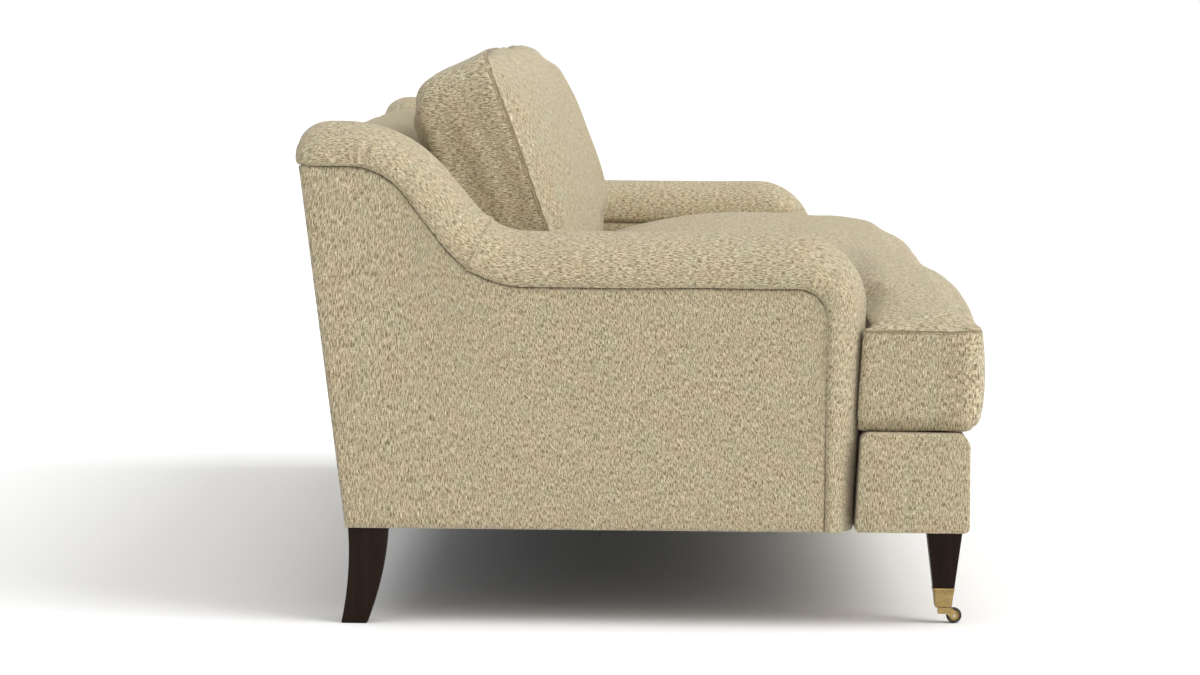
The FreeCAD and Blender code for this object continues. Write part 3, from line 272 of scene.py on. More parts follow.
def seam_cloth(colours):
    """The covering cloth at a seam: its fold, and a row of stitches on each side of it.

    The fold and the rows are narrow bands across the map's U, and a sine along V breaks the rows
    into stitches. The band's ground is darkened, and the fold and the rows between the stitches
    more so, as painted shade.
    """
    stitch_off = 0.0024
    stitch_pitch = 0.0048
    cloth = Finish("seam_cloth")
    place = cloth.place("weave")
    across = cloth.axis(place, "X")
    along = cloth.axis(place, "Y")
    yarn = cloth.streaks(place, (430.0, 120.0, 1.0), 2.0, 0.6, 0.4)
    ground = cloth.mix(cloth.spread(yarn, 0.35, 0.65), colours.yarn_cool, colours.yarn_warm)
    # painted shade: the whole band is darkened so that the seam reads as a shaded line
    ground = cloth.mix(cloth.spread(yarn, 0.34, 0.58, 0.9, 0.25), ground, colours.dark_yarn_and_shade)
    row = cloth.maths("SUBTRACT", cloth.maths("ABSOLUTE", across), stitch_off)
    row = cloth.spread(cloth.maths("ABSOLUTE", row), 0.0003, 0.0008, 1.0, 0.0)
    fold = cloth.spread(cloth.maths("ABSOLUTE", across), 0.0007, 0.0018, 1.0, 0.0)
    stitch = cloth.maths("MULTIPLY", row, cloth.spread(cloth.wave(along, stitch_pitch), -0.3, 0.4))
    # painted shade in the fold and in the rows between the stitches
    groove = cloth.maths("MAXIMUM", cloth.maths("SUBTRACT", row, stitch), fold)
    cloth.colour(cloth.mix(cloth.maths("MULTIPLY", groove, 0.85), ground, colours.dark_yarn_and_shade))
    height = cloth.maths("SUBTRACT", cloth.maths("MULTIPLY", yarn, 0.5), row)
    cloth.raise_by(cloth.maths("ADD", height, cloth.maths("MULTIPLY", stitch, 0.6)), 0.0012, 0.8)
    cloth.surface(**CHENILLE)


def plain_cloth(name, tint, pitch, uneven):
    """A plain weave: sines across and along, and noise for slubs and wear."""
    cloth = Finish(name)
    place = cloth.place()
    weave = cloth.maths("MULTIPLY", *(cloth.wave(cloth.axis(place, letter), pitch) for letter in "XY"))
    wear = cloth.noise(place, 9.0, 4.0, 0.6)
    fleck = cloth.streaks(place, (300.0, 90.0, 90.0))
    dark = tuple(channel * (1 - uneven) for channel in tint)
    ground = cloth.mix(cloth.spread(wear, 0.3, 0.7), dark, tint)
    cloth.colour(cloth.mix(cloth.spread(fleck, 0.5, 0.75, 0.0, uneven), ground, dark))
    cloth.raise_by(cloth.maths("ADD", weave, fleck), 0.0004, 0.6)
    cloth.surface(Roughness=0.95, Sheen_Weight=0.1)


def webbing_cloth(name, tint, stripe):
    """Jute band: twill lines, a darker stripe near each edge, and hairy noise."""
    stripe_off = 0.016
    cloth = Finish(name)
    place = cloth.place("weave")
    across = cloth.maths("ABSOLUTE", cloth.axis(place, "X"))
    yarn = cloth.streaks(place, (900.0, 240.0, 1.0), 3.0, 0.6)
    edge = cloth.maths("ABSOLUTE", cloth.maths("SUBTRACT", across, stripe_off))
    ground = cloth.mix(cloth.spread(yarn, 0.3, 0.7), tuple(0.6 * channel for channel in tint), tint)
    cloth.colour(cloth.mix(cloth.spread(edge, 0.0012, 0.0020, 0.85, 0.0), ground, stripe))
    twill = cloth.wave(cloth.axis(place, "Y"), 0.0022)
    cloth.raise_by(cloth.maths("ADD", twill, yarn), 0.0005, 0.7)
    cloth.surface(Roughness=0.95)


def wood(name, tint, grain_axis, contrast, gloss, pores=0.5):
    """Wood: noise drawn out along the grain for figure and pores, and wide noise for the stain."""
    timber = Finish(name)
    place = timber.place()
    scale = [60.0, 60.0, 60.0]
    scale["XYZ".index(grain_axis)] = 3.0
    figure = timber.streaks(place, scale, 4.0, 0.6, 1.2)
    pore = timber.streaks(place, [9.0 * value for value in scale])
    stain = timber.noise(place, 7.0, 2.0)
    dark = tuple(channel * (1 - contrast) for channel in tint)
    light = tuple(min(channel * (1 + 0.6 * contrast), 1.0) for channel in tint)
    ground = timber.mix(timber.spread(figure, 0.35, 0.65), dark, light)
    ground = timber.mix(timber.spread(stain, 0.4, 0.7, 0.0, 0.4), ground, tint)
    timber.colour(timber.mix(timber.spread(pore, 0.58, 0.75, 0.0, pores), ground, dark))
    timber.raise_by(timber.maths("SUBTRACT", figure, pore), 0.0003, 0.35)
    rough = timber.spread(stain, 0.3, 0.7, gloss, gloss + 0.12)
    timber.surface(Roughness=rough, Specular_IOR_Level=0.10)


def plywood():
    """Plywood: even layers through the thickness of a board, pale and brown in turn."""
    board = Finish("birch_plywood")
    place = board.place()
    layer = board.wave(board.axis(place, "X"), 0.0028)
    figure = board.streaks(place, (90.0, 5.0, 40.0), 4.0, 0.6, 1.0)
    ground = board.mix(board.spread(figure, 0.3, 0.7), (0.62, 0.43, 0.24), (0.74, 0.56, 0.36))
    board.colour(board.mix(board.spread(layer, -0.2, 0.2, 0.0, 0.28), ground, (0.40, 0.24, 0.11)))
    board.raise_by(figure, 0.0002, 0.4)
    board.surface(Roughness=0.6)


def metal(name, tint, rough, wear):
    """Cast or turned metal: noise dulls it in patches and fine noise scratches it."""
    plate = Finish(name)
    place = plate.place()
    patch = plate.noise(place, 160.0, 4.0, 0.6)
    scratch = plate.streaks(place, (400.0, 400.0, 2600.0))
    dull = tuple(channel * (1 - wear) for channel in tint)
    plate.colour(plate.mix(plate.spread(patch, 0.40, 0.68), tint, dull))
    plate.raise_by(plate.maths("ADD", patch, scratch), 0.00006, 0.5)
    plate.surface(Metallic=1.0, Roughness=plate.spread(patch, 0.3, 0.7, rough, rough + 0.22))


def tyre_rubber():
    """Dull black rubber with dust in its low places."""
    black = (0.016, 0.015, 0.014)
    dusty = (0.075, 0.07, 0.062)
    rubber = Finish("tyre_rubber")
    dust = rubber.noise(rubber.place(), 380.0, 4.0, 0.65)
    rubber.colour(rubber.mix(rubber.spread(dust, 0.5, 0.75, 0.0, 0.5), black, dusty))
    rubber.raise_by(dust, 0.0001, 0.6)
    rubber.surface(Roughness=0.78)


def finish(name):
    return bpy.data.materials[name]


# Meshes
def walked(points, axis):
    """Distance walked along an axis of a grid of points, starting at 0."""
    step = np.linalg.norm(np.diff(points, axis=axis), axis=2)
    start = np.zeros_like(np.take(step, [0], axis=axis))
    return np.cumsum(np.concatenate([start, step], axis=axis), axis=axis)


def sheet_map(points):
    """A map in metres: U across the rows of a grid, from its middle, and V along its columns."""
    across = walked(points, 1)
    across = across - across[:, -1:] / 2
    along = walked(points, 0)
    along = np.repeat(along.mean(axis=1, keepdims=True), points.shape[1], axis=1)
    return np.stack([across, along], axis=2)


def signed_volume(points, quads):
    """Six times the volume inside a closed mesh, from its triangles' triple products."""
    a, b, c, d = (points[quads[:, index]] for index in range(4))
    return float(np.sum(a * np.cross(b, c)) + np.sum(a * np.cross(c, d)))


def pulled(items, name, width=1, kind=float):
    """An attribute of a mesh's items as an array, with one row for each item if width is over 1."""
    values = np.zeros(len(items) * width, dtype=kind)
    items.foreach_get(name, values)
    return values.reshape(-1, width) if width > 1 else values


def positions(mesh):
    return pulled(mesh.vertices, "co", 3)


def normals(mesh):
    return pulled(mesh.vertices, "normal", 3)


def cut_places(mesh):
    return pulled(mesh.attributes["cut"].data, "vector", 3)


def move_to(mesh, places):
    mesh.vertices.foreach_set("co", np.ascontiguousarray(places).ravel())
    mesh.update()


def smooth(mesh):
    mesh.polygons.foreach_set("use_smooth", np.ones(len(mesh.polygons), dtype=bool))


def placed(name, data):
    """A new object in the scene for a mesh, a light or a camera."""
    item = bpy.data.objects.new(name, data)
    bpy.context.scene.collection.objects.link(item)
    return item


def grid_cells(rows, columns, wide):
    """The row and column of each cell of a grid, wide cells to a row, and its corners as a face."""
    row, column = np.meshgrid(np.arange(rows - 1), np.arange(wide), indexing="ij")
    right = (column + 1) % columns
    quads = np.stack([row * columns + column, row * columns + right,
                      (row + 1) * columns + right, (row + 1) * columns + column], axis=2)
    return np.stack([row, column], 2), quads.reshape(-1, 4)


def grid_piece(name, points, material, around=False, ends=False, facing=None, weave=None,
               crease=48.0):
    """A smooth mesh on a grid of points (rows, columns, 3), with edges sharper than crease kept.

    around joins the last column to the first, and ends closes the first and last row. The faces
    are turned to point out of a closed shell, or along facing on an open one.
    """
    rows, columns = points.shape[:2]
    cells, quads = grid_cells(rows, columns, columns if around else columns - 1)
    corners = (cells[:, :, None] + np.array([[0, 0], [0, 1], [1, 1], [1, 0]])).reshape(-1, 4, 2)
    flat = points.reshape(-1, 3)
    if facing is None:
        outward = signed_volume(flat - flat.mean(axis=0), quads) > 0
    else:
        normal = np.cross(flat[quads[:, 2]] - flat[quads[:, 0]], flat[quads[:, 3]] - flat[quads[:, 1]])
        outward = float(np.sum(normal @ np.asarray(facing, float))) > 0
    if not outward:
        quads = quads[:, ::-1]
        corners = corners[:, ::-1]
    faces = quads.tolist()
    if ends:
        first = list(range(columns))
        last = list(range((rows - 1) * columns, rows * columns))
        faces += [first[::-1], last] if not outward else [first, last[::-1]]
    mesh = bpy.data.meshes.new(name)
    mesh.from_pydata(flat.tolist(), [], faces)
    closed = np.concatenate([points, points[:, :1]], axis=1) if around else points
    laid = sheet_map(closed) if weave is None else weave
    loops = np.zeros((len(mesh.loops), 2))
    loops[:corners.size // 2] = laid[corners[..., 0], corners[..., 1]].reshape(-1, 2)
    if ends:
        tips = pulled(mesh.loops, "vertex_index", kind=np.int32)[corners.size // 2:]
        loops[corners.size // 2:] = flat[tips][:, [0, 2]]
    mesh.uv_layers.new(name="weave").data.foreach_set("uv", loops.ravel())
    smooth(mesh)
    mesh.validate()
    mesh.update()
    if crease:
        mesh.set_sharp_from_angle(angle=math.radians(crease))
    mesh.materials.append(finish(material))
    return placed(name, mesh)


def set_on(piece, body, slot, *nodes):
    """Puts a piece on its body and hides the nodes that it stands for; its slot is not used."""
    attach(piece, body)
    if nodes:
        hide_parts(*nodes)


def thicken(piece, thickness):
    """A wall behind an open sheet."""
    wall = piece.modifiers.new("wall", "SOLIDIFY")
    wall.thickness = thickness
    wall.offset = -1.0


def mirrored(points, side):
    return points * np.array([side, 1.0, 1.0])


def unevenness(points, seed, size, depth):
    """Soft hand-made unevenness: the sum of six sine waves with seeded directions and phases."""
    chance = np.random.default_rng(seed)
    total = np.zeros(points.shape[:-1])
    for _ in range(6):
        direction = chance.normal(size=3)
        direction *= 2 * math.pi / (size * chance.uniform(0.7, 1.5) * np.linalg.norm(direction))
        total += np.sin(points @ direction + chance.uniform(0, 2 * math.pi))
    return depth * total / 3.0


def tuck(distance, depth, width):
    """A dip of a given depth at a seam that fades with the distance from it."""
    return depth * np.exp(-np.abs(distance) / width)


def edge_distance(a, b, a_range, b_range):
    """Distance of points (a, b) from the nearest edge between two values of a and two of b."""
    return np.minimum(np.minimum(a - a_range[0], a_range[1] - a), np.minimum(b - b_range[0], b_range[1] - b))


# The lines of the arm
def rear_y(z):
    """Y of the raked outside back at a height."""
    return REAR_FOOT_Y + (z - BASE) * math.tan(RAKE)


def inside_y(z):
    """Y of the inside back at a height."""
    return INSIDE_BACK_Y + (z - DECK) * math.tan(BACK_LEAN)


def rest_z(y):
    """Height of the plane where a back cushion rests on a seat cushion."""
    return REST[1] - (y - REST[0]) * math.tan(REST_SLOPE)


def band_y(z):
    """Y of the crest of an arm's front band at a height."""
    share = (z - BASE) / (BAND_CREST[1] - BASE)
    return BAND_FOOT_Y + share * (BAND_CREST[0] - BAND_FOOT_Y)


def circle(centre, radius, angles):
    """Points (y, z) on a circle at angles from +Y towards +Z."""
    angles = np.radians(angles)
    return np.stack([centre[0] + radius * np.cos(angles), centre[1] + radius * np.sin(angles)], 1)


def between(start, end, count):
    """Even points between two others, without those two."""
    return np.linspace(start, end, count + 2)[1:-1]


class ArmLine:
    """A line that is level on the wing, falls in an S to the arm and turns down at the front."""

    def __init__(self, wing_z, wing_y, arm_z, convex_r, concave_r, front_y, front_r):
        bend = (convex_r + concave_r) * (1 - math.cos(math.radians(SLOPE)))
        straight = (wing_z - arm_z - bend) / math.sin(math.radians(SLOPE))
        run = (convex_r + concave_r) * math.sin(math.radians(SLOPE))
        run += straight * math.cos(math.radians(SLOPE))
        self.convex_r = convex_r
        self.concave_r = concave_r
        self.front_r = front_r
        self.convex = (wing_y, wing_z - convex_r)
        self.concave = (wing_y - run, arm_z + concave_r)
        self.front = (front_y, arm_z - front_r)

    def wing(self, start_y, turns):
        """From a point on the level wing round the convex bend and down to the cross seam."""
        level = np.stack([np.linspace(start_y, self.convex[0], turns, endpoint=False),
                          np.full(turns, self.convex[1] + self.convex_r)], 1)
        convex = circle(self.convex, self.convex_r, 90 + np.linspace(0, SLOPE, turns))
        concave = circle(self.concave, self.concave_r, 270 + np.linspace(SLOPE, CROSS_SEAM, turns))
        return np.concatenate([level, convex, between(convex[-1], concave[0], turns), concave])

    def arm(self, foot, turns):
        """From the cross seam along the arm and down the front band to its foot."""
        concave = circle(self.concave, self.concave_r, 270 + np.linspace(CROSS_SEAM, 0, turns))
        front = circle(self.front, self.front_r, 90 + np.linspace(0, 90, 4 * turns))
        band = np.linspace(front[-1], foot, 2 * turns + 1)[1:]
        return np.concatenate([concave, between(concave[-1], front[0], 2 * turns), front, band])


SEAM = ArmLine(WING_SEAM, 0.418, 0.4915, 0.100, 0.152, -0.227, 0.044)
CREST = ArmLine(WING_CREST, 0.427, 0.5673, 0.195, 0.097, -0.223, 0.107)
BAND_Y = SEAM.front[0] - SEAM.front_r       # the band's seam down the front of an arm


def roll_surface(seam, crest, pinch, columns=88, width=1.0, height=1.0):
    """The roll between its seam and crest lines, for the left side.

    Each section is half an ellipse that stands on the seam and reaches the crest, in the plane
    of the two. Beside the seam it draws in by pinch, its foot is tucked a little below, and the
    stations round it stand closer together there.
    """
    even = np.linspace(0.0, 1.0, columns)
    turn = math.pi * (even - 0.12 * np.sin(2 * math.pi * even))[None, :]
    up = crest - seam
    rise = np.linalg.norm(up, axis=1)[:, None] * height
    up = up / np.linalg.norm(up, axis=1)[:, None]
    lift = rise * np.sin(turn) ** 0.94
    reach = ROLL_HALF * width * np.cos(turn) * (1.0 + 0.004 * np.sin(turn))
    reach = reach - np.sign(np.cos(turn)) * tuck(lift, pinch, 0.0028)
    lift = lift - 0.001 * (np.sin(turn) < 1e-6)
    y = seam[:, :1] + up[:, :1] * lift
    z = seam[:, 1:] + up[:, 1:] * lift
    return np.stack([-ROLL_MIDDLE - reach, y, z], axis=2), turn


def outward_normals(points):
    """Unit normals of a grid, by the cross product of its two directions."""
    normal = np.cross(np.gradient(points, axis=1), np.gradient(points, axis=0))
    return normal / np.maximum(np.linalg.norm(normal, axis=2, keepdims=True), 1e-12)


def pleats(along, turn, places, depth):
    """Pleats across a roll, deepest near its seams: each one a sharp valley beside a soft fold.

    places holds (distance along the roll, lean, strength). The valley's place shifts with the
    turn round the roll by its lean. The pleat fades out before the crest, and close to the seam.
    """
    total = np.zeros(along.shape)
    near = np.minimum(turn, math.pi - turn)
    for place, lean, strength in places:
        off = along - place - lean * near
        fade = np.clip(1.0 - near / (1.15 * strength), 0.0, 1.0) ** 0.7
        fade *= np.clip(0.15 + near / 0.14, 0.0, 1.0)
        valley = -np.exp(-(off / 0.0030) ** 2)
        fold = 0.75 * np.exp(-((off - 0.0064) / 0.0046) ** 2)
        fold = fold + 0.3 * np.exp(-((off + 0.008) / 0.005) ** 2)
        total += depth * strength * fade * (valley + fold)
    return total


def roll_pieces(kind, points, along, cross_seam, shift):
    """The left and right roll of a kind, raised by a shift that falls into their cross seam."""
    shift = shift - tuck(along - cross_seam, 0.0035, 0.0045)
    points = points + outward_normals(points) * shift[..., None]
    for side, sign in SIDES:
        piece = grid_piece(f"{side}_{kind}_roll", mirrored(points, sign), "covering_cloth",
                           around=True, ends=True)
        set_on(piece, "sofa", "upholstery", kind + "_rolls")


def arm_rolls(shape):
    """The roll of each arm from the cross seam to the foot of the front band."""
    foot = BASE + 0.0005
    seam = SEAM.arm((BAND_Y, foot), 26)
    crest = CREST.arm((BAND_FOOT_Y, foot), 26)
    points, turn = roll_surface(seam, crest, shape.seam_pinch)
    along = walked(points, 0)[:, :1] + np.zeros(points.shape[:2])
    corner = along[int(np.argmax(seam[:, 1] < SEAM.front[1] + SEAM.front_r - 1e-6)), 0]
    degree = SEAM.front_r * math.radians(1.0)
    places = [(corner + 24 * degree, -0.0010, 0.62), (corner + 38 * degree, -0.0015, 0.45),
              (corner + 52 * degree, -0.0040, 1.0), (corner + 68 * degree, -0.0030, 0.6),
              (corner + 84 * degree, -0.0020, 0.35)]
    shift = pleats(along, turn + np.zeros(along.shape), places, shape.pleat_depth)
    roll_pieces("arm", points, along, 0.0, shift + unevenness(points, 11, 0.16, 0.0009))


def wing_rolls(shape):
    """The roll over each wing: its rounded ear behind, with two pleats, down to the cross seam."""
    dome = 0.005
    length_y = 0.046
    count = 26
    end_y = rear_y(SEAM.convex[1] + SEAM.convex_r) + 0.008 - dome
    ramp = (1 - np.cos(np.linspace(0.0, math.pi / 2, count))) ** 1.25
    stations = end_y - length_y * ramp
    share = np.clip((end_y - stations) / length_y, 0.0, 1.0)
    swell = np.sqrt(1 - (1 - share) ** 2)
    start = stations[-1] - 0.003
    turns = 22
    lifted = WING_SEAM + 0.004 * (1 - swell) ** 2
    seam = np.concatenate([np.stack([stations, lifted], 1), SEAM.wing(start, turns)])
    crest = np.concatenate([np.stack([stations, np.full(count, WING_CREST)], 1), CREST.wing(start, turns)])
    rest = np.ones(len(seam) - count)
    height = np.concatenate([0.46 + 0.54 * swell, rest])[:, None]
    width = np.concatenate([0.82 + 0.18 * swell, rest])[:, None]
    points, turn = roll_surface(seam, crest, shape.seam_pinch, width=width, height=height)
    close = np.cos(np.linspace(0.0, math.pi / 2, 9))[1:-1, None, None]
    middle = points[0].mean(axis=0)
    cap = middle + (points[0] - middle)[None] * close
    cap[..., 1] = end_y + dome * np.sqrt(1 - close[..., 0] ** 2)
    points = np.concatenate([cap[::-1], points])
    along = walked(points, 0)[:, 44:45] + np.zeros(points.shape[:2])
    places = [(0.118, 0.006, 0.85), (0.140, 0.011, 1.0), (0.170, 0.012, 0.5)]
    shift = pleats(along, turn + np.zeros(along.shape), places, shape.pleat_depth)
    shift += unevenness(points, 12, 0.15, 0.0009) * np.clip(along / 0.06, 0, 1)
    roll_pieces("wing", points, along, along[-1, 0], shift)


def side_top(count, inset, rear_end, front_end):
    """The seam line over the side of an arm, from rear to front, as even (y, z) stations."""
    path = np.concatenate([[[rear_end, WING_SEAM]], SEAM.wing(SEAM.convex[0] + 0.001, 24)[24:],
                           SEAM.arm((BAND_Y, BASE), 24)[:-48]])
    path = path[path[:, 0] <= rear_end + 1e-9]
    path = path[path[:, 0] >= front_end - 1e-9]
    walk = np.concatenate([[0.0], np.cumsum(np.linalg.norm(np.diff(path, axis=0), axis=1))])
    even = np.linspace(0.0, walk[-1], count)
    return np.stack([np.interp(even, walk, path[:, 0]), np.interp(even, walk, path[:, 1]) - inset], 1)


def ruled_panel(low, high, x, outward, puff, rows, seed):
    """A panel between a lower and an upper line of (y, z) points at a given X.

    Its points are the straight mix of the two lines. It swells by puff away from its edges and
    draws in close beside them.
    """
    share = np.linspace(0.0, 1.0, rows)[:, None, None]
    flat = low[None] * (1 - share) + high[None] * share
    across, along = walked(flat, 1), walked(flat, 0)
    near = edge_distance(across, along, (0.0, across[:, -1:]), (0.0, along[-1:]))
    swell = puff * (1 - np.exp(-near / 0.03)) - tuck(near, 0.004, 0.0025)
    points = np.concatenate([np.full((*flat.shape[:2], 1), x), flat], axis=2)
    swell += unevenness(points, seed, 0.22, 0.0007) * np.clip(near / 0.05, 0, 1)
    points[..., 0] += outward * swell
    return points


def arm_panels(shape):
    """The outer panel of each arm and the padded inner face over the deck."""
    top = side_top(150, 0.0008, rear_y(WING_SEAM), BAND_Y)
    foot = np.stack([np.linspace(REAR_FOOT_Y, top[-1, 0], len(top)), np.full(len(top), BASE)], 1)
    outer = ruled_panel(foot, top, -PANEL_OUTSIDE + 0.001, -1.0, shape.panel_puff, 70, 21)
    inner_rear = 0.388
    top = side_top(130, 0.0008, inner_rear, BAND_Y)
    foot = np.stack([np.linspace(INSIDE_BACK_Y - 0.002, top[-1, 0], len(top)),
                     np.full(len(top), DECK + 0.0006)], 1)
    rear = top[:, 0] > inside_y(top[:, 1]) - 0.002
    top[rear, 0] = inside_y(top[rear, 1]) - 0.002
    inner = ruled_panel(foot, top, -PANEL_INSIDE - 0.001, 1.0, shape.panel_puff, 40, 22)
    for side, sign in SIDES:
        piece = grid_piece(side + "_outer_arm", mirrored(outer, sign), "covering_cloth", facing=(-sign, 0, 0))
        thicken(piece, 0.008)
        set_on(piece, "sofa", "upholstery", side + "_outer_arm_panel")
        piece = grid_piece(side + "_inner_arm", mirrored(inner, sign), "covering_cloth", facing=(sign, 0, 0))
        thicken(piece, 0.022)
        set_on(piece, "sofa", "upholstery", side + "_inner_arm_pad")


def rounded_loop(corners, radii, per_corner=10, per_side=14):
    """A closed loop of (a, b) points round corners, each turned by an arc of its own radius."""
    corners = np.asarray(corners, float)
    parts = []
    count = len(corners)
    for index in range(count):
        here = corners[index]
        before = corners[index - 1] - here
        after = corners[(index + 1) % count] - here
        before /= np.linalg.norm(before)
        after /= np.linalg.norm(after)
        half = math.acos(float(np.clip(before @ after, -1, 1))) / 2
        reach = radii[index] / math.tan(half)
        middle = here + (before + after) / np.linalg.norm(before + after) * radii[index] / math.sin(half)
        start = here + before * reach - middle
        end = here + after * reach - middle
        share = np.linspace(0, 1, per_corner)[:, None]
        arc = start * (1 - share) + end * share
        parts.append(arc / np.linalg.norm(arc, axis=1)[:, None] * radii[index] + middle)
    loop = []
    for part, following in zip(parts, parts[1:] + parts[:1]):
        loop += [part, between(part[-1], following[0], per_side)]
    return np.concatenate(loop)


def loop_normals(loop):
    """Unit normals of a closed loop that runs against the clock, pointing out of it."""
    step = np.roll(loop, -1, axis=0) - np.roll(loop, 1, axis=0)
    normal = np.stack([step[:, 1], -step[:, 0]], 1)
    return normal / np.linalg.norm(normal, axis=1)[:, None]


def front_border(shape):
    """The upholstered block across the front: a rounded section carried across the sofa.

    Near each end the section is set in along its normals by a quarter circle, which rounds the
    end's edges, and then shrinks to its middle over a slightly swollen end.
    """
    lowest = BASE + 0.0004
    loop = rounded_loop([(BORDER_FRONT, lowest), (band_y(BASE) - 0.0006, lowest),
                         (band_y(DECK) - 0.0006, DECK), (BORDER_FRONT, DECK)], (0.008, 0.005, 0.013, 0.021))
    normal = loop_normals(loop)
    edge = 0.0035
    bevel = np.linspace(0.0, math.pi / 2, 9)
    reach = PANEL_OUTSIDE
    x = np.linspace(-reach + edge, reach - edge, 120)
    middle = loop[None] + np.zeros((len(x), 1, 1))
    round_x = reach - edge * (1 - np.sin(bevel[1:]))
    round_loops = loop[None] - normal[None] * (edge * (1 - np.cos(bevel[1:])))[:, None, None]
    face_share = np.array([0.93, 0.80, 0.55, 0.25, 0.04])
    face_x = reach + 0.0030 * (1 - face_share ** 4)
    centre = loop.mean(axis=0)
    face_loops = centre + (round_loops[-1] - centre)[None] * face_share[:, None, None]
    end_x = np.concatenate([round_x, face_x])
    end_loops = np.concatenate([round_loops, face_loops])
    x = np.concatenate([-end_x[::-1], x, end_x])
    section = np.concatenate([end_loops[::-1], middle, end_loops])
    points = np.concatenate([np.repeat(x[:, None, None], len(loop), axis=1), section], axis=2)
    swell = unevenness(points, 31, 0.25, 0.0006)
    swell += 0.0012 * (1 - np.exp(-np.clip(reach - np.abs(points[..., 0]), 0, 1) / 0.05))
    points[..., 1:] += normal[None] * swell[..., None] * (normal[None, :, 1:] > -0.5)
    border = grid_piece("front_border_cover", points, "covering_cloth", around=True, ends=True, crease=70.0)
    lay_weave(border.data, positions(border.data))
    set_on(border, "sofa", "upholstery", "front_border")


def back_panels(shape):
    """The roll along the top of the back, the padded inside back and the outside back panel."""
    crest_y, crest_z = TOP_ROLL_CREST
    base = TOP_ROLL_BASE + 0.0003
    rise = crest_z - base
    front_y = inside_y(base)
    back_y = rear_y(base)
    turn = np.linspace(0.0, math.pi, 64)
    run = np.where(turn < math.pi / 2, back_y - crest_y, crest_y - front_y)
    y = crest_y + run * np.cos(turn)
    z = base + rise * np.sin(turn) ** 0.92
    y -= np.sign(np.cos(turn)) * tuck(z - base, shape.seam_pinch, 0.004)
    x = np.linspace(-ROLL_INSIDE + 0.0004, ROLL_INSIDE - 0.0004, 140)
    section = np.stack([y, z], 1)
    points = np.concatenate([np.repeat(x[:, None, None], len(turn), 1),
                             np.repeat(section[None], len(x), 0)], axis=2)
    points += outward_normals(points) * unevenness(points, 41, 0.2, 0.0012)[..., None] * -1.0
    points[..., 2] = np.maximum(points[..., 2], base - 0.0002)
    top_roll = grid_piece("back_roll_cover", points, "covering_cloth", around=True, ends=True)
    set_on(top_roll, "sofa", "upholstery", "back_top_roll")

    x = np.linspace(-ROLL_INSIDE + 0.0006, ROLL_INSIDE - 0.0006, 110)
    height = np.linspace(DECK + 0.0006, TOP_ROLL_BASE - 0.0004, 44)
    grid_x, grid_z = np.meshgrid(x, height)
    flat = np.stack([grid_x, inside_y(grid_z), grid_z], axis=2)
    near = edge_distance(grid_x, grid_z, (x[0], x[-1]), (height[0], height[-1]))
    out = np.array([0.0, -math.cos(BACK_LEAN), math.sin(BACK_LEAN)])
    swell = np.minimum(-0.0004 - tuck(near, 0.004, 0.012) + unevenness(flat, 42, 0.3, 0.0006), 0.0)
    inside = grid_piece("inside_back_cover", flat + out * swell[..., None], "covering_cloth",
                        facing=(0, -1, 0))
    thicken(inside, 0.024)
    set_on(inside, "sofa", "upholstery", "inside_back_pad")

    reach = PANEL_OUTSIDE - 0.0125
    x = np.linspace(-reach, reach, 150)
    wing_top = SEAM.convex[1] + SEAM.convex_r - 0.0008
    step = np.clip((np.abs(x) - ROLL_INSIDE) / 0.002, 0.0, 1.0)
    top = (TOP_ROLL_BASE - 0.0004 + (wing_top - TOP_ROLL_BASE) * step)[None]
    share = np.linspace(0.0, 1.0, 60)[:, None]
    grid_z = BASE * (1 - share) + top * share
    grid_x = np.repeat(x[None], len(share), 0)
    flat = np.stack([grid_x, rear_y(grid_z), grid_z], axis=2)
    near = edge_distance(grid_x, grid_z, (x[0], x[-1]), (BASE, top))
    swell = shape.panel_puff * (1 - np.exp(-near / 0.04)) - tuck(near, 0.0025, 0.004)
    swell += unevenness(flat, 43, 0.3, 0.0009) * np.clip(near / 0.05, 0, 1)
    out = np.array([0.0, math.cos(RAKE), -math.sin(RAKE)])
    outside = grid_piece("outside_back_cover", flat + out * swell[..., None], "covering_cloth",
                         facing=(0, 1, 0))
    thicken(outside, 0.008)
    set_on(outside, "sofa", "upholstery", "outside_back_panel")


# Cushions
def ring_shell(rings):
    """A closed mesh on rings of points (rows, columns, 3), for the settling of a cushion."""
    rows, columns = rings.shape[:2]
    quads = grid_cells(rows, columns, columns)[1]
    first = list(range(columns))
    last = list(range((rows - 1) * columns, rows * columns))
    flat = rings.reshape(-1, 3)
    if signed_volume(flat - flat.mean(axis=0), quads) < 0:
        faces = quads[:, ::-1].tolist() + [first, last[::-1]]
    else:
        faces = quads.tolist() + [first[::-1], last]
    mesh = bpy.data.meshes.new("shell")
    mesh.from_pydata(flat.tolist(), [], faces)
    mesh.update()
    return mesh


def baked(piece):
    """The mesh of an object with its modifiers applied."""
    graph = bpy.context.evaluated_depsgraph_get()
    return bpy.data.meshes.new_from_object(piece.evaluated_get(graph))


def bake(piece):
    """Applies an object's modifiers to its mesh."""
    mesh = baked(piece)
    piece.modifiers.clear()
    piece.data = mesh
    return mesh


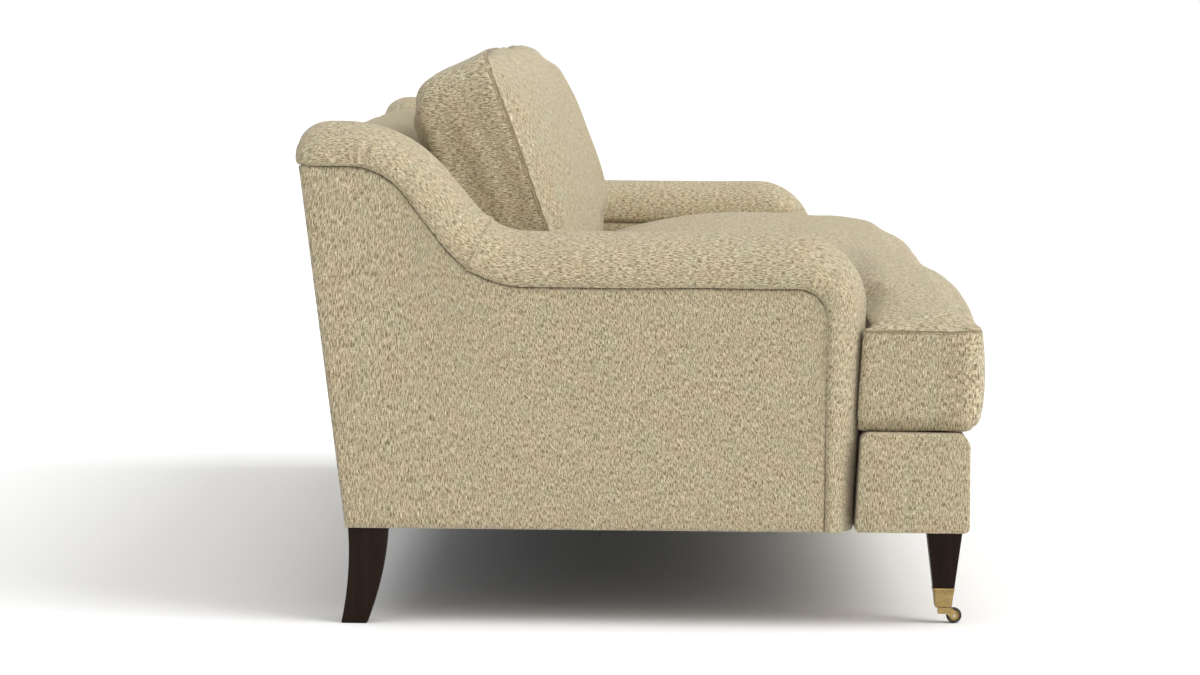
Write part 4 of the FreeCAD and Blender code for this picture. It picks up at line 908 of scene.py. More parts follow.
def settled(shell, shape, confine):
    """Remeshes a cushion's shell evenly, lets its cover swell and settle as cloth, and smooths it.

    confine takes points and gives them back inside the room that the cushion has. The mesh keeps
    each point's place before the settling in its attribute "cut".
    """
    frames = 20
    piece = placed("cover_form", shell)
    remesh = piece.modifiers.new("even", "REMESH")
    remesh.mode = "VOXEL"
    remesh.voxel_size = shape.voxel
    even = bake(piece)
    start = positions(even)
    cloth = piece.modifiers.new("cover", "CLOTH")
    cloth.settings.quality = 3
    cloth.settings.use_pressure = True
    cloth.settings.uniform_pressure_force = shape.cushion_pressure
    cloth.settings.effector_weights.gravity = 0.0
    cloth.settings.tension_stiffness = 25.0
    cloth.settings.compression_stiffness = 12.0
    cloth.settings.shear_stiffness = 6.0
    cloth.settings.bending_stiffness = 2.0
    cloth.collision_settings.use_collision = False
    cloth.point_cache.frame_start = 1
    cloth.point_cache.frame_end = frames
    scene = bpy.context.scene
    for step in range(1, frames + 1):
        scene.frame_set(step)
    swollen = positions(baked(piece))
    piece.modifiers.clear()
    scene.frame_set(1)
    moved = evened(even, swollen - start, 14)
    outward = normals(even)
    rise = np.sum(moved * outward, axis=1, keepdims=True)
    moved += outward * (np.clip(rise, -0.0015, 0.012) - rise)
    moves = np.linalg.norm(moved, axis=1, keepdims=True)
    give = shape.cushion_give
    moved *= give * np.tanh(moves / give) / np.maximum(moves, 1e-9)
    move_to(even, confine(start + moved))
    cut = even.attributes.new("cut", "FLOAT_VECTOR", "POINT")
    cut.data.foreach_set("vector", start.ravel())
    fine = piece.modifiers.new("fine", "SUBSURF")
    fine.levels = 1
    fine.render_levels = 1
    mesh = bake(piece)
    move_to(mesh, confine(positions(mesh)))
    bpy.data.objects.remove(piece)
    return mesh


def evened(mesh, values, rounds):
    """Values at the points of a mesh, each mixed with the mean of its neighbours' a few times."""
    ends = pulled(mesh.edges, "vertices", 2, np.int32)
    first, second = ends.T
    count = np.bincount(ends.ravel(), minlength=len(values))[:, None]
    for _ in range(rounds):
        total = np.zeros_like(values)
        for column in range(values.shape[1]):
            total[:, column] += np.bincount(first, values[second, column], len(values))
            total[:, column] += np.bincount(second, values[first, column], len(values))
        values = 0.4 * values + 0.6 * total / np.maximum(count, 1)
    return values


def lay_weave(mesh, places, turned=(0, 0, 0)):
    """The cloth's map in metres, laid flat from the side that each face of a mesh looks to most.

    The three sides look along X, Y and Z. turned says for each whether the yarns run along the
    first of its two axes instead of the second. The map changes where faces turn to another side.
    """
    facing = np.abs(pulled(mesh.polygons, "normal", 3))
    total = pulled(mesh.polygons, "loop_total", kind=np.int32)
    strongest = np.repeat(np.argmax(facing, axis=1), total)
    tips = pulled(mesh.loops, "vertex_index", kind=np.int32)
    places = places[tips]
    maps = np.stack([places[:, [1, 2]], places[:, [0, 2]], places[:, [0, 1]]], axis=0)
    laid = maps[strongest, np.arange(len(tips))]
    swap = np.asarray(turned)[strongest] > 0
    laid[swap] = laid[swap][:, ::-1]
    chart = mesh.uv_layers.get("weave") or mesh.uv_layers.new(name="weave")
    chart.data.foreach_set("uv", laid.ravel())


def seam_band(name, path, across, target, facing):
    """A flat stitched band along a path, drawn onto a cushion's cover and a little above it.

    path holds rows of points, and across is the direction across the band. facing is None for a
    band that runs right round its cushion.
    """
    off = SEAM_WIDTH * np.linspace(-0.5, 0.5, 9)
    points = path[:, None] + np.array(across) * off[:, None]
    laid = np.stack([np.repeat(off[None], len(path), 0), np.repeat(walked(points, 0)[:, 4:5], len(off), 1)],
                    axis=2)
    piece = grid_piece(name, points, "seam_cloth", facing=facing, weave=laid, crease=0)
    wrap = piece.modifiers.new("wrap", "SHRINKWRAP")
    wrap.target = target
    wrap.wrap_method = "NEAREST_SURFACEPOINT"
    wrap.wrap_mode = "OUTSIDE_SURFACE"
    wrap.offset = 0.0006
    bake(piece)
    return piece


def ear_y(x, z):
    """Y of the back of a left seat cushion's ear, close round the half ellipse of the front band."""
    crest = band_y(np.clip(z, BASE, BAND_CREST[1]))
    across = np.clip((-x - ROLL_MIDDLE) / ROLL_HALF, 0.0, 0.55)
    return BAND_Y + (crest - BAND_Y) * np.sqrt(1.0 - across ** 2) - 0.0032


def seat_outline(inset, height=SEAT_SEAM):
    """Plan of the left seat cushion at a height, with its ear before the arm and rounded corners."""
    ear = -EAR_SIDE + inset
    side = -CUSHION_SIDE + inset
    middle = -CUSHION_MIDDLE - inset
    front = SEAT_FRONT + inset
    rear = SEAT_REAR - inset
    shoulder = -ROLL_MIDDLE - 0.025
    back = float(ear_y(shoulder, height)) - 0.6 * inset
    tip = float(ear_y(ear, height)) - 0.6 * inset
    corners = [(ear, front), (middle, front), (middle, rear), (side, rear), (side, back),
               (shoulder, back), (ear, tip)]
    return rounded_loop(corners, (0.026, 0.026, 0.013, 0.013, 0.010, 0.030, 0.008), 8, 50)


def seat_rise(points, crown):
    """Rise of the seat's crown: a full curve in front of its top, a parabola behind, an arc across."""
    x, y = points[..., 0], points[..., 1]
    ahead = np.clip((CROWN_Y - y) / (CROWN_Y - SEAT_FRONT), 0, 1)
    behind = np.clip((y - CROWN_Y) / (SEAT_REAR - CROWN_Y), 0, 1)
    front = (1 - ahead ** CROWN_POWER) ** (1 / CROWN_POWER)
    lengthwise = np.where(y < CROWN_Y, front, 1 - behind ** 2)
    blend = np.clip((y - EAR_BACK + 0.03) / 0.06, 0, 1)
    left = -EAR_SIDE + (EAR_SIDE - CUSHION_SIDE) * blend * blend * (3 - 2 * blend)
    share = np.clip((x - left) / (-CUSHION_MIDDLE - left), 0, 1)
    across = np.clip(1 - np.abs(2 * share - 1) ** 2.1, 0, 1)
    return crown * lengthwise * across


def seat_room(points):
    """Keeps a seat cushion off the deck, the arms, the inside back, its neighbour and the back cushion."""
    points = points.copy()
    x, y, z = points.T
    x = np.clip(x, -EAR_SIDE - 0.006, -CUSHION_MIDDLE + 0.0006)
    side = -CUSHION_SIDE - 0.0015
    behind = ear_y(x, z) + 0.0008
    beside = (x < side) & (y > behind)
    nearer = y - behind < side - x
    y = np.where(beside & nearer, behind, y)
    x = np.where(beside & ~nearer, side, x)
    y = np.maximum(y, SEAT_FRONT - 0.009)
    y = np.minimum(y, inside_y(z) - 0.0012)
    z = np.maximum(z, DECK + 0.0004)
    ahead = np.clip((REST[0] + 0.004 - y) / 0.05, 0, 1)
    ceiling = rest_z(np.maximum(y, REST[0])) - 0.0004 + 0.09 * ahead ** 1.6
    z = np.minimum(z, ceiling)
    return np.stack([x, y, z], axis=1)


def seat_shell(shape):
    """The left seat cushion before it settles: rings from its foot up its boxing and over its crown."""
    outline = seat_outline(CUSHION_INSET)
    centre = np.array([-0.47, -0.41])
    foot = DECK + 0.003
    rings = []
    for share in (0.02, 0.35, 0.7, 0.93):
        plan = centre + (outline - centre) * share
        rings.append(np.column_stack([plan, np.full(len(plan), foot)]))
    for share in np.linspace(0.0, 1.0, 12):
        drawn = 0.007 * max(0.0, 1 - share / 0.12)
        height = foot + (SEAT_SEAM - foot) * share
        plan = seat_outline(CUSHION_INSET + drawn, height)
        full = np.clip((SEAT_FRONT + 0.05 - plan[:, 1]) / 0.05, 0.0, 1.0)
        plan[:, 1] -= 0.006 * full * math.sin(math.pi * share)
        rings.append(np.column_stack([plan, np.full(len(plan), height)]))
    for share in np.sin(np.linspace(0.0, math.pi / 2, 26))[1:]:
        plan = outline + (centre - outline) * min(share, 0.985)
        height = SEAT_SEAM + seat_rise(plan, shape.seat_crown)
        rings.append(np.column_stack([plan, height]))
    return np.array(rings)


def seat_cushions(shape):
    """The two T-shaped seat cushions, settled as cloth, with a seam round the top of the boxing."""
    rings = seat_shell(shape)
    rings = seat_room(rings.reshape(-1, 3)).reshape(rings.shape)
    form = settled(ring_shell(rings), shape, seat_room)
    for number, (side, sign) in enumerate(SIDES):
        cover = placed(side + "_seat_cushion", form.copy())
        mesh = cover.data
        cut = cut_places(mesh)
        places = positions(mesh)
        height = cut[:, 2]
        on_side = np.exp(-((height - SEAT_SEAM) / 0.0035) ** 2)
        foot = np.exp(-((height - DECK - 0.012) / 0.0035) ** 2)
        puff = 0.0020 * np.exp(-((height - SEAT_SEAM - 0.010) / 0.007) ** 2)
        shift = puff - 0.0035 * on_side - 0.0025 * foot
        shift += unevenness(cut, 51 + number, 0.22, 0.0014)
        move_to(mesh, seat_room(places + normals(mesh) * shift[:, None]))
        lay_weave(mesh, cut)
        finish_cushion(mesh, sign)
        body = side + "_seat_cushion"
        set_on(cover, body, "upholstery", body + "_cover", body + "_core")
        line = seat_outline(0.0)
        line = np.concatenate([line, line[:1]])
        path = mirrored(np.column_stack([line, np.full(len(line), SEAT_SEAM)]), sign)
        seam = seam_band(side + "_seat_cushion_seam", path, (0.0, 0.0, 1.0), cover, None)
        set_on(seam, body, "upholstery")


def finish_cushion(mesh, sign):
    """Mirrors a left cushion's cover to its side of the sofa and gives it its cloth."""
    if sign < 0:
        move_to(mesh, mirrored(positions(mesh), sign))
        mesh.flip_normals()
    smooth(mesh)
    mesh.update()
    mesh.materials.clear()
    mesh.materials.append(finish("covering_cloth"))


def back_outline(inset):
    """A back cushion's outline from the front, upright: arched top and sides drawn in."""
    left = -CUSHION_SIDE + inset
    right = -CUSHION_MIDDLE - inset
    top = BACK_TOP - inset
    loop = rounded_loop([(left, -BACK_BELOW), (right, -BACK_BELOW), (right, top), (left, top)],
                        (0.012, 0.012, 0.052, 0.052), 12, 40)
    middle = (left + right) / 2
    share = np.clip(1 - ((loop[:, 0] - middle) / (right - middle)) ** 2, 0, 1)
    loop[:, 1] += 0.009 * share * np.clip(loop[:, 1] / BACK_TOP, 0, 1) ** 3
    drawn = 0.005 * np.clip(1 - ((loop[:, 1] - 0.15) / 0.2) ** 2, 0, 1)
    off = loop[:, 0] - middle
    loop[:, 0] -= np.sign(off) * drawn * (np.abs(off) / (right - middle)) ** 8
    return loop


LEAN_COS = math.cos(BACK_LEAN)
LEAN_SIN = math.sin(BACK_LEAN)
FOOT_Y = inside_y(BACK_FOOT) - BACK_DEEP / LEAN_COS


def stood(points):
    """Leans an upright cushion back and stands it on its foot line."""
    x, y, z = np.moveaxis(points, -1, 0)
    return np.stack([x, FOOT_Y + y * LEAN_COS + z * LEAN_SIN,
                     BACK_FOOT - y * LEAN_SIN + z * LEAN_COS], axis=-1)


def upright(points):
    """The reverse of stood, for places on a cushion."""
    x, y, z = points[..., 0], points[..., 1] - FOOT_Y, points[..., 2] - BACK_FOOT
    return np.stack([x, y * LEAN_COS - z * LEAN_SIN, y * LEAN_SIN + z * LEAN_COS], axis=-1)


def back_fill(loop, crown):
    """Swell of a back cushion's face: a soft arc across and a full curve up its height."""
    half = (CUSHION_SIDE - CUSHION_MIDDLE) / 2
    across = np.clip(1 - np.abs((loop[:, 0] - CUSHION_CENTRE) / half) ** 2.2, 0, 1)
    off = np.abs(2 * (loop[:, 1] + BACK_BELOW) / BACK_HEIGHT - 1)
    upward = np.clip(1 - off ** 2.3, 0, 1) ** (1 / 2.3)
    return crown * across * upward


def back_room(points):
    """Keeps a back cushion over its rest plane, off the arms, its neighbour and the inside back."""
    x, y, z = points.T.copy()
    x = np.clip(x, -CUSHION_SIDE - 0.0015, -CUSHION_MIDDLE + 0.0006)
    y = np.where(z < TOP_ROLL_BASE, np.minimum(y, inside_y(z) - 0.0006), y)
    over = (z >= TOP_ROLL_BASE) & (z < TOP_ROLL_OVER)
    y = np.where(over, np.minimum(y, np.maximum(inside_y(TOP_ROLL_BASE), inside_y(z) - 0.0004)), y)
    z = np.maximum(z, rest_z(np.maximum(y, REST[0] - 0.03)) + 0.0006)
    return np.stack([x, y, z], axis=1)


def lowered(outline, share):
    """An outline with its top lowered by a quarter round towards the rear seam, at share 0."""
    off = max(0.0, 1.0 - share / 0.45)
    drop = REAR_ROUND * (1.0 - math.sqrt(1.0 - off ** 2))
    top = np.clip(outline[:, 1] / BACK_TOP, 0.0, 1.0) ** 2
    return outline - np.column_stack([np.zeros(len(outline)), drop * top])


def back_shell(shape):
    """A left back cushion before it settles: rings over its rear bulge, boxing and front crown."""
    outline = back_outline(CUSHION_INSET)
    centre = np.array([CUSHION_CENTRE, 0.155])
    rear = lowered(outline, 0.0)
    rings = []
    for share in np.sin(np.linspace(math.pi / 2, 0.0, 20))[:-1]:
        plan = rear + (centre - rear) * min(share, 0.98)
        depth = REAR_SEAM + back_fill(plan, shape.back_bulge)
        rings.append(np.column_stack([plan[:, 0], depth, plan[:, 1]]))
    for share in np.linspace(0.0, 1.0, 15):
        plan = lowered(back_outline(CUSHION_INSET + 0.004 * math.sin(math.pi * share)), share)
        depth = np.full(len(plan), REAR_SEAM - (BOXING + REAR_SEAM) * share)
        rings.append(np.column_stack([plan[:, 0], depth, plan[:, 1]]))
    for share in np.sin(np.linspace(0.0, math.pi / 2, 24))[1:]:
        plan = outline + (centre - outline) * min(share, 0.98)
        depth = -BOXING - back_fill(plan, shape.back_crown)
        rings.append(np.column_stack([plan[:, 0], depth, plan[:, 1]]))
    return stood(np.array(rings))


def back_cushions(shape):
    """The two boxed back cushions, settled as cloth: stitched seams in front, grooves at both seams."""
    rings = back_shell(shape)
    rings = back_room(rings.reshape(-1, 3)).reshape(rings.shape)
    form = settled(ring_shell(rings), shape, back_room)
    for number, (side, sign) in enumerate(SIDES):
        cover = placed(side + "_back_cushion", form.copy())
        mesh = cover.data
        cut = cut_places(mesh)
        places = positions(mesh)
        own = upright(cut)
        edge = np.maximum(np.abs(own[:, 0] - CUSHION_CENTRE) / (CUSHION_SIDE / 2), own[:, 2] / BACK_TOP)
        rim = np.clip((edge - 0.90) / 0.06, 0, 1)
        shift = np.zeros(len(cut))
        for depth in (-BOXING - 0.003, REAR_SEAM + 0.003):
            shift -= 0.0032 * rim * np.exp(-((own[:, 1] - depth) / 0.0035) ** 2)
            shift += 0.0020 * rim * np.exp(-((own[:, 1] - depth) / 0.012) ** 2)
        shift += unevenness(cut, 71 + number, 0.16, 0.0018)
        move_to(mesh, back_room(places + normals(mesh) * shift[:, None]))
        lay_weave(mesh, cut, (1, 0, 0))
        finish_cushion(mesh, sign)
        body = side + "_back_cushion"
        set_on(cover, body, "upholstery", body + "_cover", body + "_core")
        line = back_outline(0.005)
        line = line[line[:, 1] > 0.02]
        line = np.roll(line, -int(np.argmax(np.linalg.norm(np.diff(line, axis=0), axis=1))) - 1, axis=0)
        spot = np.column_stack([line[:, 0], np.full(len(line), -BOXING - 0.001), line[:, 1]])
        path = mirrored(stood(spot), sign)
        seam = seam_band(side + "_back_cushion_seam", path, (0.0, LEAN_COS, -LEAN_SIN), cover, (0, 0, 1))
        set_on(seam, body, "upholstery")


# Under the cushions
def deck_and_dust_cover(shape):
    """The padded deck under the seat cushions and the black cloth under the frame."""
    low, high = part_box("seat_deck")
    x = (-ROLL_INSIDE + 0.001, ROLL_INSIDE - 0.001)
    y = (low.y + 0.001, inside_y(DECK) - 0.003)
    thick = 0.0094
    grid_x, grid_y = np.meshgrid(np.linspace(*x, 60), np.linspace(*y, 40))
    top = high.z - 0.0006 - tuck(edge_distance(grid_x, grid_y, x, y), thick / 3, 0.006)
    deck = grid_piece("deck_cover", np.stack([grid_x, grid_y, top], axis=2), "deck_lining", facing=(0, 0, 1))
    thicken(deck, thick * 0.6)
    set_on(deck, "sofa", "deck_cloth", "seat_deck")
    low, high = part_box("dust_cover")
    front = BORDER_FRONT + 0.014
    across = np.linspace(-DUST_HALF, DUST_HALF, 90)
    grid_x, grid_y = np.meshgrid(across, np.linspace(front, high.y - 0.004, 60))
    wide = 2 * DUST_HALF
    sag = 0.0004 + 0.0012 * (np.sin(math.pi * (grid_x + DUST_HALF) / wide)
                             * np.sin(math.pi * (grid_y - front) / 0.87))
    points = np.stack([grid_x, grid_y, BASE + 0.0012 - sag * 0.4], axis=2)
    cover = grid_piece("dust_cloth_cover", points, "dust_cloth", facing=(0, 0, -1))
    thicken(cover, 0.0006)
    set_on(cover, "sofa", "dust_cloth", "dust_cover")


def band(start, end, width_axis, width, thick):
    """One webbing band between two end points: a flat oval section carried along a line."""
    angle = np.linspace(0, 2 * math.pi, 17)[:-1]
    share = np.linspace(0, 1, 30)[:, None]
    line = start * (1 - share) + end * share
    reach = np.linalg.norm(end - start)
    up = np.cross((end - start) / reach, width_axis)
    oval_a = width / 2 * np.sign(np.cos(angle)) * np.abs(np.cos(angle)) ** 0.25
    oval_b = thick / 2 * np.sign(np.sin(angle)) * np.abs(np.sin(angle)) ** 0.6
    section = oval_a[:, None] * width_axis + oval_b[:, None] * up
    points = line[:, None] + section[None]
    laid_u = np.concatenate([oval_a, oval_a[:1]])
    laid = np.stack([np.repeat(laid_u[None], len(share), 0),
                     np.repeat(share * reach, len(laid_u), 1)], axis=2)
    return points, laid


def node_solids(node):
    """The boxes of the separate solids of a webbing node, from its vertices joined by triangles."""
    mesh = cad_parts[node].data
    places = positions(mesh)
    first, second = pulled(mesh.edges, "vertices", 2, np.int32).T
    label = np.unique(np.round(places, 5), axis=0, return_inverse=True)[1].ravel()
    for _ in range(64):
        low = np.minimum(label[first], label[second])
        new = label.copy()
        np.minimum.at(new, first, low)
        np.minimum.at(new, second, low)
        same = np.full(label.max() + 1, label.max() + 1)
        np.minimum.at(same, label, new)
        new = same[label]
        if np.array_equal(new, label):
            break
        label = new
    return [(places[label == value].min(0), places[label == value].max(0)) for value in np.unique(label)]


def webbing(shape):
    """The jute bands of seat and back, each a flat woven strap with soft edges."""
    for node in ("seat_webbing_long", "seat_webbing_cross", "back_webbing"):
        pieces = []
        for low, high in node_solids(node):
            run = 0
            thick = 0.0028
            if node == "seat_webbing_long":
                run = 1
                width_axis, width, thick = np.array([1.0, 0, 0]), high[0] - low[0], high[2] - low[2]
            elif node == "seat_webbing_cross":
                width_axis, width = np.array([0, 1.0, 0]), max(high[1] - low[1], 0.050)
            else:
                width_axis, width = np.array([0.0, LEAN_SIN, LEAN_COS]), 0.0525
            start = (low + high) / 2
            end = start.copy()
            start[run] = low[run]
            end[run] = high[run]
            points, laid = band(start, end, width_axis, width * 0.985, thick * 0.94)
            pieces.append(grid_piece(f"{node}_{len(pieces)}", points, "jute_webbing", around=True, ends=True,
                                     weave=laid))
        set_on(join(pieces, node + "_bands"), "sofa", "webbing", node)


def join(pieces, name):
    """One object from several."""
    with bpy.context.temp_override(active_object=pieces[0], selected_editable_objects=pieces):
        bpy.ops.object.join()
    pieces[0].name = name
    pieces[0].data.name = name
    return pieces[0]


# Legs and casters
def rounded_section(half_x, half_y, radius):
    """A rectangle with rounded corners about its middle."""
    return rounded_loop([(-half_x, -half_y), (half_x, -half_y), (half_x, half_y), (-half_x, half_y)],
                        (radius,) * 4, 5, 3)


def level_sections(heights, halves, radius):
    """Square sections with rounded corners at heights, about the middle of the left front leg."""
    sections = [np.column_stack([rounded_section(half, half, radius), np.full(32, z)])
                for z, half in zip(heights, halves)]
    return np.array(sections) + np.array([-FRONT_LEG[0], FRONT_LEG[1], 0.0])


def bowed(foot, top, bow, share):
    """A line from the foot to the top of a leg, bowed forwards in its middle."""
    return foot + (top - foot) * share - bow * 4 * share * (1 - share)


def legs(shape):
    """Tapered front legs with a tenon in the caster's cup, and sabre rear legs, edges eased."""
    heights = np.array([0.0300, 0.0505, 0.0519, 0.0521, 0.0535, 0.080, 0.110, 0.1400, 0.1412])
    low_half, top_half = 0.0155, 0.026
    taper = low_half + (top_half - low_half) * (heights - CUP_TOP) / (LEG_TOP - CUP_TOP)
    taper[:3] = 0.0153 - 0.0016 - (CUP_TOP - heights[:3]) * 0.1111
    taper[3] -= 0.0008
    front = level_sections(heights, taper, 0.0018)
    share = np.concatenate([[0.0, 0.008], np.linspace(0.03, 1.0, 34)])
    fore = bowed(0.3895, 0.361, 0.006, share)
    aft = bowed(0.427, 0.4175, 0.005, share)
    wide = 0.021 + 0.006 * share
    eased = np.where(share < 0.001, 0.0010, 0.0)
    sections = []
    for y0, y1, half, ease, part in zip(fore, aft, wide, eased, share):
        loop = rounded_section(half - ease, (y1 - y0) / 2 - ease, 0.0022) + [0.0, (y0 + y1) / 2]
        sections.append(np.column_stack([loop, np.full(32, part * (LEG_TOP - 0.0002))]))
    rear = np.array(sections) + np.array([-REAR_LEG_X, 0.0, 0.0])
    for side, sign in SIDES:
        for kind, points in (("front", front), ("rear", rear)):
            piece = grid_piece(f"{side}_{kind}_leg_turned", mirrored(points, sign), "stained_leg",
                               around=True, ends=True, crease=60.0)
            set_on(piece, "sofa", "leg_wood", f"{side}_{kind}_leg")


def lathe(name, profile, centre, material, sides=56):
    """A profile of (x, r) points turned about a line along X through a centre (x, y, z)."""
    angle = np.linspace(0, 2 * math.pi, sides + 1)[:-1]
    profile = np.asarray(profile, float)
    x = np.repeat(profile[None, :, 0], sides, 0) + centre[0]
    y = profile[None, :, 1] * np.cos(angle)[:, None] + centre[1]
    z = profile[None, :, 1] * np.sin(angle)[:, None] + centre[2]
    points = np.stack([x, y, z], axis=2)
    points = np.concatenate([points, points[:1]], axis=0)
    piece = grid_piece(name, points, material, around=True, crease=35.0)
    welded = piece.modifiers.new("weld", "WELD")
    welded.merge_threshold = 0.000001
    bake(piece)
    return piece


def casters(shape):
    """A brass cup, and a turned brass hub with its rubber tyre, on each front leg."""
    levels = [(CUP_FOOT, 0.0100), (CUP_FOOT + 0.0004, 0.0112), (CUP_FOOT + 0.0016, 0.01215),
              (CUP_FOOT + 0.0034, 0.01265), (0.040, 0.0140), (0.0490, 0.01535), (0.0494, 0.0159),
              (0.0508, 0.0162), (CUP_TOP, 0.0160), (CUP_TOP + 0.0002, 0.0152), (0.0500, 0.0138)]
    cup = level_sections(*zip(*levels), 0.0024)
    half_hub = [(-0.0070, 0.0019), (-0.0073, 0.0034), (-0.0066, 0.0041), (-0.0058, 0.0046),
                (-0.0058, 0.0061), (-0.0068, 0.0067), (-0.0070, 0.0073), (-0.0066, 0.0079),
                (-0.0060, 0.0081)]
    hub = half_hub + [(-x, radius) for x, radius in reversed(half_hub)]
    bow = np.radians(np.linspace(180, 0, 15))
    tread = [(0.0070 * math.cos(a), 0.0092 + 0.0021 * math.sin(a) ** 0.6) for a in bow]
    tread = [(-0.0070, 0.0082)] + tread + [(0.0070, 0.0082)]
    for side, sign in SIDES:
        piece = grid_piece(side + "_cup_shell", mirrored(cup, sign), "worn_brass", around=True,
                           ends=True, crease=50.0)
        set_on(piece, "sofa", "brass", side + "_caster_cup")
        centre = (-FRONT_LEG[0] * sign, *WHEEL)
        wheel = lathe(side + "_wheel_hub", hub, centre, "worn_brass")
        set_on(wheel, side + "_wheel", "brass", side + "_caster_wheel")
        tyre = lathe(side + "_wheel_tread", tread, centre, "tyre_rubber")
        set_on(tyre, side + "_wheel", "tyre", side + "_caster_tyre")


CAD_FINISH = {
    "frame_timber_x": ("front_rail", "inner_front_rail", "rear_rail", "seat_back_rail", "back_top_rail"),
    "frame_timber_y": ("rail_ends", "side_rails", "seat_stretchers", "corner_blocks"),
    "frame_timber_z": ("left_arm_spacers", "right_arm_spacers"),
    "birch_plywood": ("back_ribs", "left_outer_arm_board", "right_outer_arm_board",
                      "left_inner_arm_board", "right_inner_arm_board"),
    "zinc_steel": ("leg_plates", "leg_bolts", "left_caster_pin", "right_caster_pin",
                   "left_caster_axle", "right_caster_axle"),
    "worn_brass": ("left_caster_horn", "right_caster_horn"),
}


def inner_frame(shape):
    """Finishes on the solids that stay as the CAD has them."""
    for name, nodes in CAD_FINISH.items():
        for node in nodes:
            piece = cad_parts[node]
            if not piece.material_slots:
                piece.data.materials.append(finish(name))
            for slot in piece.material_slots:
                slot.material = finish(name)


def finishes(colours):
    """All the materials, made once before the pieces."""
    covering_cloth(colours)
    seam_cloth(colours)
    plain_cloth("deck_lining", tuple(colours.lining), 0.0011, 0.25)
    plain_cloth("dust_cloth", (0.018, 0.018, 0.019), 0.0009, 0.5)
    webbing_cloth("jute_webbing", (0.42, 0.28, 0.14), (0.16, 0.04, 0.03))
    for letter in "XYZ":
        wood("frame_timber_" + letter.lower(), tuple(colours.timber), letter, 0.22, 0.55, 0.3)
    wood("stained_leg", tuple(colours.leg_wood), "Z", 0.45, 0.30)
    plywood()
    metal("worn_brass", tuple(colours.brass), 0.26, 0.25)
    metal("zinc_steel", (0.55, 0.56, 0.57), 0.32, 0.25)
    tyre_rubber()


# The stage
def stage(colours):
    """Pale floor, suns from the front, from overhead and low from the side, and the camera."""
    white = Finish("studio_floor")
    place = white.place()
    speck = white.noise(place, 2.0, 3.0)
    pale = tuple(min(channel * 1.01, 1.0) for channel in colours.floor)
    white.colour(white.mix(speck, tuple(colours.floor), pale))
    white.surface(Roughness=0.9, Specular_IOR_Level=0.0)
    across = np.linspace(-60, 60, 13)
    grid_x, grid_y = np.meshgrid(across, across)
    level = np.stack([grid_x, grid_y, np.zeros(grid_x.shape)], 2)
    floor = grid_piece("studio_floor", level, "studio_floor", facing=(0, 0, 1))

    world = bpy.data.worlds.new("studio")
    bpy.context.scene.world = world
    world.use_nodes = True
    tree = world.node_tree
    background = tree.nodes["Background"]
    rays = tree.nodes.new("ShaderNodeLightPath")
    total = rays.outputs["Is Camera Ray"]
    for name in ("Is Glossy Ray", "Is Transmission Ray"):
        add = tree.nodes.new("ShaderNodeMath")
        add.operation = "MAXIMUM"
        tree.links.new(total, add.inputs[0])
        tree.links.new(rays.outputs[name], add.inputs[1])
        total = add.outputs[0]
    strength = tree.nodes.new("ShaderNodeMapRange")
    tree.links.new(total, strength.inputs["Value"])
    strength.inputs["To Min"].default_value = 0.43
    strength.inputs["To Max"].default_value = 1.0
    tree.links.new(strength.outputs["Result"], background.inputs["Strength"])
    background.inputs["Color"].default_value = (1.0, 1.0, 1.0, 1.0)

    for name, direction, power, spread in (("front_sun", (-0.26, -0.78, 0.66), 2.15, 50.0),
                                           ("overhead_sun", (-0.10, 0.05, 1.0), 1.1, 70.0),
                                           ("side_sun", (-1.0, -0.35, 0.22), 0.36, 50.0)):
        light = bpy.data.lights.new(name, "SUN")
        light.energy = power
        light.angle = math.radians(spread)
        lamp = placed(name, light)
        lamp.rotation_euler = Vector(direction).to_track_quat("Z", "Y").to_euler()

    sensor = 36.0
    lens_pixels = 4132.0
    frame_pixels = 1200.0
    data = bpy.data.cameras.new("side_camera")
    data.sensor_width = sensor
    data.lens = lens_pixels / frame_pixels * sensor
    data.clip_end = 200.0
    camera = placed("side_camera", data)
    camera.location = (-6.970, -0.008, 0.867)
    pitch, yaw, roll = math.radians(4.34), math.radians(0.62), math.radians(0.5)
    ahead = Vector((math.cos(pitch) * math.cos(yaw), math.cos(pitch) * math.sin(yaw), -math.sin(pitch)))
    camera.rotation_mode = "QUATERNION"
    camera.rotation_quaternion = ahead.to_track_quat("-Z", "Y") @ Quaternion((0.0, 0.0, 1.0), roll)
    bpy.context.scene.camera = camera
    bpy.context.scene.view_settings.view_transform = "Standard"


# Operators
class PieceOperator:
    """What every piece's operator shares: it builds from the scene's shape."""
    bl_options = {"REGISTER", "UNDO"}

    def execute(self, context):
        type(self).build(context.scene.sofa_shape)
        return {"FINISHED"}


class SOFA_OT_finishes(bpy.types.Operator):
    """Make the cloth, wood and metal finishes"""
    bl_idname = "sofa.finishes"
    bl_label = "Finishes"

    def execute(self, context):
        finishes(context.scene.sofa_colours)
        return {"FINISHED"}


class SOFA_OT_inner_frame(PieceOperator, bpy.types.Operator):
    """Finish the timber, boards, plates, bolts and caster horns"""
    bl_idname = "sofa.inner_frame"
    bl_label = "Inner Frame"
    build = inner_frame


class SOFA_OT_webbing(PieceOperator, bpy.types.Operator):
    """Stretch the webbing of seat and back"""
    bl_idname = "sofa.webbing"
    bl_label = "Webbing"
    build = webbing


class SOFA_OT_deck(PieceOperator, bpy.types.Operator):
    """Lay the deck and the dust cover"""
    bl_idname = "sofa.deck"
    bl_label = "Deck and Dust Cover"
    build = deck_and_dust_cover


class SOFA_OT_arm_rolls(PieceOperator, bpy.types.Operator):
    """Upholster the roll of each arm"""
    bl_idname = "sofa.arm_rolls"
    bl_label = "Arm Rolls"
    build = arm_rolls


